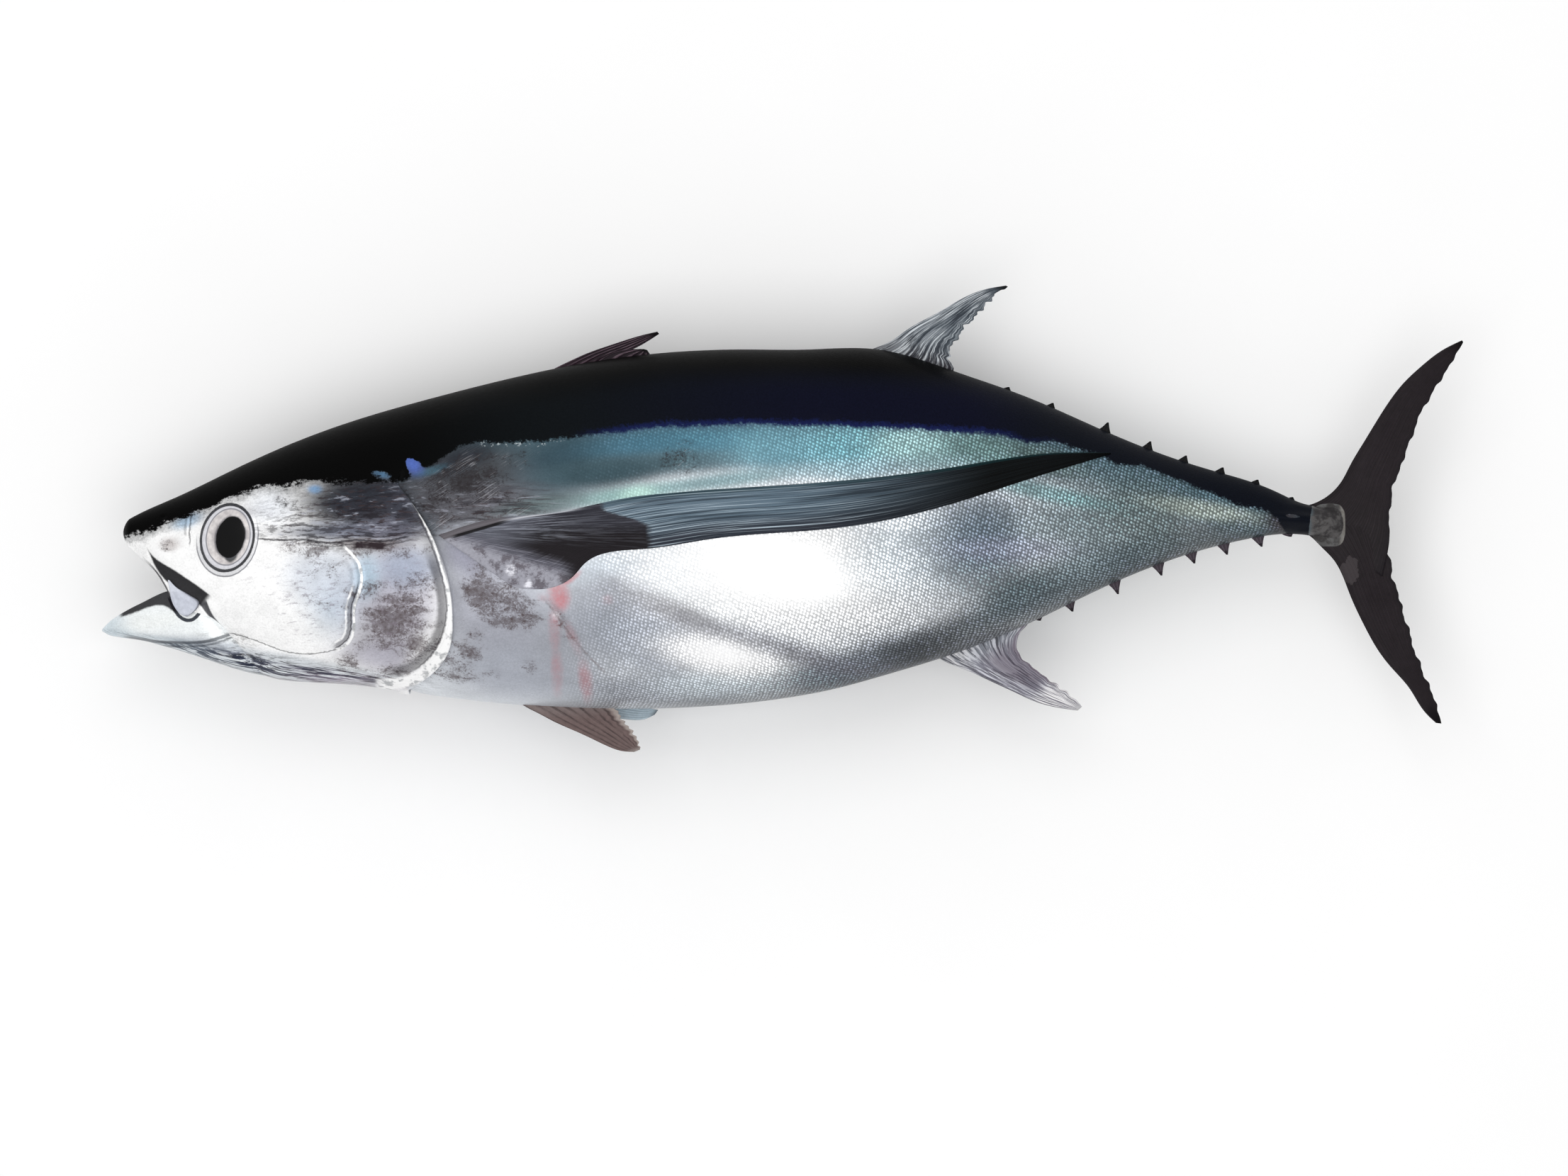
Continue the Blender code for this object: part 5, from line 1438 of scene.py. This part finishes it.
def pectoral_looks(s, colour, x, y, across, fine, along, hairs, **others):
    """Brown to a sharp step, slate blue with pale rays, then black; pale flesh and a black slit at the root,
    painted shade where the fin's root meets the flank.
    """
    thin = s.smooth(hairs, 0.50, 0.62)
    from_root = x - SIDE_FIN_ROOT[0]
    lead = from_root * SIDE_FIN_SLOPE + SIDE_FIN_ROOT[1] - y
    fan = lead * (from_root.math("MAXIMUM", 0.0) * 0.30 + 7.0).math("POWER", -1.0)
    fanned = s.noise(1.0, 4, 0.7, s.vector(fan * 30.0, x * 0.022, 3.0))
    rayed = s.smooth(fanned, 0.49, 0.58)
    brown = s.mix(s.smooth(fan + (along - 0.5) * 0.3, 0.30, 0.60), (46, 46, 54), (24, 20, 24))
    brown = s.mix(s.falling(x + fan * 20.0, 290, 330) * 0.9, brown, (86, 88, 98))
    pale = s.falling(fan, 0.50, 0.90) * (1.0 - s.smooth(x, 305, 345) * 0.85)
    brown = s.mix(rayed * pale * 0.7, brown, (150, 154, 166))
    bright = s.stripe(lead - 1.2, 0.3, 0.7) * s.falling(x, 325, 345) * 0.9
    brown = s.mix(bright, brown, (196, 198, 206))
    brown = s.times(brown, 0.6 + 0.8 * fanned)
    slate = s.mix(s.smooth(across, 0.45, 0.95), (92, 110, 124), (42, 44, 54))
    slate = s.mix(s.falling(along, 0.40, 0.52) * 0.75, slate, (30, 40, 50))
    slate = s.mix(thin * s.smooth(along, 0.40, 0.58) * 0.8, slate, (188, 204, 216))
    slate = s.mix(s.smooth(x, 470, 600) * 0.88, slate, (17, 23, 29))
    slate = s.mix(s.smooth(x, 560, 630), slate, s.mix(thin * 0.25, (2, 3, 4), (34, 43, 47)))
    green = s.stripe(across - 0.02, 0.03, 0.07) * s.smooth(x, 330, 400)
    slate = s.mix(green * 0.5, slate, (12, 50, 54))
    upper = s.falling(fan, 0.08, 0.45)
    step = x + (fine - 0.5) * 5.0 + y * 0.12 + upper * 38.0
    colour = s.mix(s.smooth(step - upper * 8.0, *SIDE_FIN_STEP), brown, slate)
    flesh = s.mix(rayed, (84, 84, 94), (130, 130, 142))
    below = (y + 5.5 + (x - 278) * 0.33) * -1.0 + (along - 0.5) * 10.0
    skin = s.mix(s.smooth(s.noise(80, 7, 0.74), 0.48, 0.60), (156, 156, 166), (104, 100, 108))
    flesh = s.mix(s.smooth(below, 2.0, 12.0), flesh, s.times(skin, 0.75 + 0.5 * fine))
    for spot_x, spot_y, reach in WHITE_SPOTS:
        away = ((x - spot_x) * (x - spot_x) + (y - spot_y) * (y - spot_y)).math("SQRT") + (along - 0.5) * 6.0
        spot = s.falling(away, reach * 0.3, reach) * s.smooth(s.noise(260, 4, 0.7), 0.38, 0.56)
        flesh = s.mix(spot * 0.9, flesh, (240, 240, 248))
    colour = s.mix(s.smooth(below, -5.0, 6.0) * s.falling(x, 322, 338), colour, flesh)
    above = y + 3.6 - (x - 249) * 0.30
    beside_slit = s.falling(x, 280, 296)
    skin_above = s.mix(along, (60, 56, 60), (128, 124, 130))
    colour = s.mix(s.smooth(above, -0.5, 0.8) * beside_slit, colour, skin_above)
    # Painted shade: the near-black slit over the fin's root.
    slit = s.falling(abs(above + (x - 265) * 0.01), 0.7, 1.6) * beside_slit * s.smooth(x, 247, 254)
    return s.mix(slit * 0.95, colour, (8, 6, 8))


def dorsal_looks(s, colour, y, across, down, along, hairs, **others):
    """Silver streaks over grey, a pale front edge and a brown foot."""
    front = s.falling(across, 0.10, 0.42)
    streak = s.smooth(along + front * 0.12, 0.47, 0.60)
    lit = s.falling(down, 0.84, 0.90)
    colour = s.mix(streak * lit * (0.14 + 0.56 * s.smooth(hairs, 0.46, 0.60)), colour, (234, 240, 245))
    colour = s.mix(s.falling(along, 0.38, 0.48) * 0.75, colour, (42, 46, 54))
    return s.mix(s.falling(y + (along - 0.5) * 5.0, 113.0, 122.0) * 0.85, colour, (40, 34, 40))


def anal_looks(s, colour, across, down, along, hairs, **others):
    """Pale at the front of the root and at the tip, purple brown between."""
    purple = s.smooth(down, 0.15, 0.35) * s.falling(down, 0.62, 0.72) * s.smooth(across, 0.15, 0.5)
    colour = s.mix(s.falling(hairs, 0.42, 0.5) * 0.7, colour, (50, 48, 56))
    colour = s.mix(s.smooth(along, 0.48, 0.58) * 0.75, colour, (214, 216, 224))
    colour = s.mix(purple * 0.7 * s.smooth(along, 0.35, 0.6), colour, (78, 62, 80))
    at_root = s.falling(down + across * 0.6, 0.12, 0.42)
    at_tip = s.smooth(down, 0.64, 0.78) * s.falling(down, 0.95, 0.99)
    pale = at_root + at_tip
    colour = s.mix(pale * s.smooth(hairs + along, 0.90, 1.12) * 0.85, colour, (240, 238, 238))
    outline = s.falling(across, 0.0, 0.035)
    return s.mix(outline * s.smooth(down, 0.3, 0.4) * 0.8, colour, (34, 44, 44))


def tail_looks(s, colour, x, y, **others):
    """A grey patch over the bony plate, and a small one on the lower lobe."""
    blotch = s.noise(110, 5, 0.65)

    def patch(cx, cy, rx, ry, rough, power):
        dx, dy = abs((x - cx) * (1 / rx)), abs((y - cy) * (1 / ry))
        size = dx.math("POWER", power) + dy.math("POWER", power)
        return s.falling(size + (blotch - 0.5) * rough, 0.88, 1.04)

    bone = patch(865.0, 5.6, 11.6, 15.4, 0.45, 3.5)
    grey = s.mix(s.smooth(blotch, 0.4, 0.6), (62, 60, 60), (92, 92, 92))
    grey = s.mix(s.smooth(x + abs(y - 6.0) * 0.12, 873.0, 876.0) * 0.5, grey, (150, 146, 140))
    colour = s.mix(bone * 0.92, colour, grey)
    colour = s.times(colour, 0.7 + 0.6 * blotch)
    return s.mix(patch(880, -26, 6, 9, 3.4, 2.0) * 0.4, colour, (84, 78, 80))


def plain_material(name, colour, roughness):
    s = Shader(name, roughness=roughness, specular=0.3)
    s.put("Base Color", s.times(s.mix(0.0, colour, colour), 0.985 + 0.03 * s.noise(6, 2)))
    return s.material


# The look of each kind of fin: colours of its root, web, rays and tip, the number of rays, where the colour
# of the tip begins, and what differs from the usual.
FIN_LOOKS = {
    "silver_fin": (
        (52, 48, 54), (76, 84, 92), (128, 136, 146), (6, 6, 7), 13, 0.91,
        {"gloss": 0.40, "special": dorsal_looks}),
    "anal_fin": (
        (124, 128, 136), (122, 120, 132), (186, 186, 196), (206, 204, 204), 13, 0.94,
        {"edge": (120, 108, 120), "gloss": 0.38, "metallic": 0.08, "special": anal_looks}),
    "pelvic_fin": (
        (128, 116, 114), (108, 92, 90), (62, 52, 52), (150, 140, 136), 7, 0.9,
        {"edge": (178, 168, 162), "ray_share": 0.8}),
    "far_pelvic_fin": ((150, 166, 176), (176, 192, 202), (120, 132, 142), (130, 140, 148), 6, 0.9, {}),
    "folded_fin": (
        (52, 38, 46), (34, 25, 32), (128, 108, 120), (12, 9, 12), 5, 0.85,
        {"gloss": 0.22, "ray_share": 0.7}),
    "tail_fin": (
        (32, 28, 30), (33, 28, 31), (54, 46, 52), (18, 15, 18), 30, 0.9,
        {"edge": (26, 22, 26), "gloss": 0.46, "ray_share": 0.35, "special": tail_looks}),
    "side_fin": (
        (80, 80, 88), (60, 66, 74), (90, 96, 106), (10, 11, 13), 22, 0.98,
        {"gloss": 0.40, "special": pectoral_looks}),
    "upper_finlet": ((6, 7, 9), (16, 16, 18), (40, 40, 42), (8, 8, 9), 3, 0.8, {}),
    "lower_finlet": ((96, 98, 108), (66, 58, 66), (110, 104, 112), (40, 34, 40), 3, 0.75, {}),
    "lip_plate": (
        (212, 216, 226), (196, 200, 212), (188, 192, 206), (150, 152, 164), 2, 0.9,
        {"edge": (60, 60, 70), "gloss": 0.34, "ray_share": 0.2}),
}
# Each single fin: its edges, thickness, place and look, its rows, columns and rays, and what differs from
# the usual.
FINS = (
    ("tail_upper", TAIL_UPPER, 5.0, in_middle(0.8, 1), "tail_fin", 120, 44, 30,
     {"ridge": 0.22, "torn": 2.0}),
    ("tail_lower", TAIL_LOWER, 5.0, in_middle(0.8, 2), "tail_fin", 120, 44, 30,
     {"ridge": 0.22, "torn": 2.5}),
    ("second_dorsal", SECOND_DORSAL, 3.2, in_middle(0.5, 3), "silver_fin", 110, 40, 15,
     {"torn": 3.5}),
    ("first_dorsal_spines", FIRST_DORSAL_SPINES, 3.0, in_middle(0.3, 4), "folded_fin", 80, 20, 5,
     {"ridge": 0.5}),
    ("first_dorsal_web", FIRST_DORSAL_WEB, 2.4, in_middle(0.3, 5), "folded_fin", 50, 20, 5,
     {"ridge": 0.4}),
    ("anal_fin", ANAL, 3.2, in_middle(0.5, 6), "anal_fin", 110, 40, 14,
     {"torn": 2.0}),
    ("left_pelvic", LEFT_PELVIC, 2.2, beside_middle(1, 0.14), "pelvic_fin", 80, 30, 7,
     {"ridge": 0.4, "torn": 2.5}),
    ("right_pelvic", RIGHT_PELVIC, 2.2, beside_middle(-1, 0.0), "far_pelvic_fin", 60, 24, 6,
     {"ridge": 0.3}),
)


def build_fins():
    looks = {name: fin_material(name, *plain, **others) for name, (*plain, others) in FIN_LOOKS.items()}
    for name, edges, thick, place, look, rows, columns, rays, others in FINS:
        fin(name, edges, thick, place, looks[look], rows, columns, rays, **others)
    for side, flank in ((1, "left"), (-1, "right")):
        fin(f"{flank}_pectoral", PECTORAL, 3.0, on_flank(side, 0.8, 0.6), looks["side_fin"], 220, 60, 22,
            ridge=0.28, rim=0.5)
        fin(f"{flank}_lip_plate", LIP_PLATE, 2.2, on_lip(side), looks["lip_plate"], 40, 18, 2,
            ridge=0.0, rim=1.0, tip_thick=0.9)
    for i, tip in enumerate(UPPER_FINLETS):
        finlet(f"upper_finlet_{i + 1}", tip, back, 1, looks["upper_finlet"])
    for i, tip in enumerate(LOWER_FINLETS):
        finlet(f"lower_finlet_{i + 1}", tip, belly, -1, looks["lower_finlet"])


FLOOR_REACH, LAMPS_AIM = 6.0, (0, 0, 0.07)
WORLD_LIGHT, SHOWN_LIGHT = 0.68, 0.92
SOFT_BOXES = (
    ("key", (0.0, -0.6, 2.7), (2.6, 1.8), 24.0),
    ("fill", (-0.4, 1.2, 2.5), (2.0, 1.4), 12.0),
)


def build_stage():
    """A pale floor, soft studio light and a camera straight above."""
    scene = bpy.context.scene
    mesh = bpy.data.meshes.new("floor")
    corners = [(x * FLOOR_REACH, y * FLOOR_REACH, 0) for x, y in ((-1, -1), (1, -1), (1, 1), (-1, 1))]
    mesh.from_pydata(corners, [], [(0, 1, 2, 3)])
    floor = bpy.data.objects.new("floor", mesh)
    scene.collection.objects.link(floor)
    mesh.materials.append(plain_material("floor", (252, 252, 252), 0.8))

    world = bpy.data.worlds.new("studio")
    scene.world = world
    world.use_nodes = True
    tree = world.node_tree
    lit, shown = tree.nodes["Background"], tree.nodes.new("ShaderNodeBackground")
    lit.inputs["Color"].default_value, lit.inputs["Strength"].default_value = (1, 1, 1, 1), WORLD_LIGHT
    shown.inputs["Color"].default_value, shown.inputs["Strength"].default_value = (1, 1, 1, 1), SHOWN_LIGHT
    path, both = tree.nodes.new("ShaderNodeLightPath"), tree.nodes.new("ShaderNodeMixShader")
    tree.links.new(path.outputs["Is Camera Ray"], both.inputs[0])
    tree.links.new(lit.outputs[0], both.inputs[1])
    tree.links.new(shown.outputs[0], both.inputs[2])
    tree.links.new(both.outputs[0], tree.nodes["World Output"].inputs["Surface"])

    for name, place, size, power in SOFT_BOXES:
        lamp = bpy.data.lights.new(name, "AREA")
        lamp.shape, lamp.size, lamp.size_y, lamp.energy = "RECTANGLE", *size, power
        holder = bpy.data.objects.new(name, lamp)
        holder.location = place
        away = np.array(place) - LAMPS_AIM
        away = away / np.linalg.norm(away)
        holder.rotation_euler = (math.acos(away[2]), 0, math.atan2(away[1], away[0]) + math.pi / 2)
        scene.collection.objects.link(holder)

    camera = bpy.data.cameras.new("camera")
    camera.sensor_width, camera.lens = SENSOR, VIEW_LENS
    camera.clip_end = 50
    holder = bpy.data.objects.new("camera", camera)
    holder.location = to_frame(SEEN_FROM)
    holder.rotation_euler = (0, 0, 0)
    scene.collection.objects.link(holder)
    scene.camera = holder
    scene.view_settings.view_transform = "Standard"


build_stage()
build_skin(skin_material("head_skin", head_lines), skin_material("trunk_skin", trunk_lines))
build_jaw(skin_material("jaw_skin", jaw_lines))
build_fins()
eye_finish = eye_material("eye")
eye_piece("left_eyeball", 1, eye_finish, "left_eye")
eye_piece("right_eyeball", -1, eye_finish, "right_eye")

bpy.context.view_layer.update()
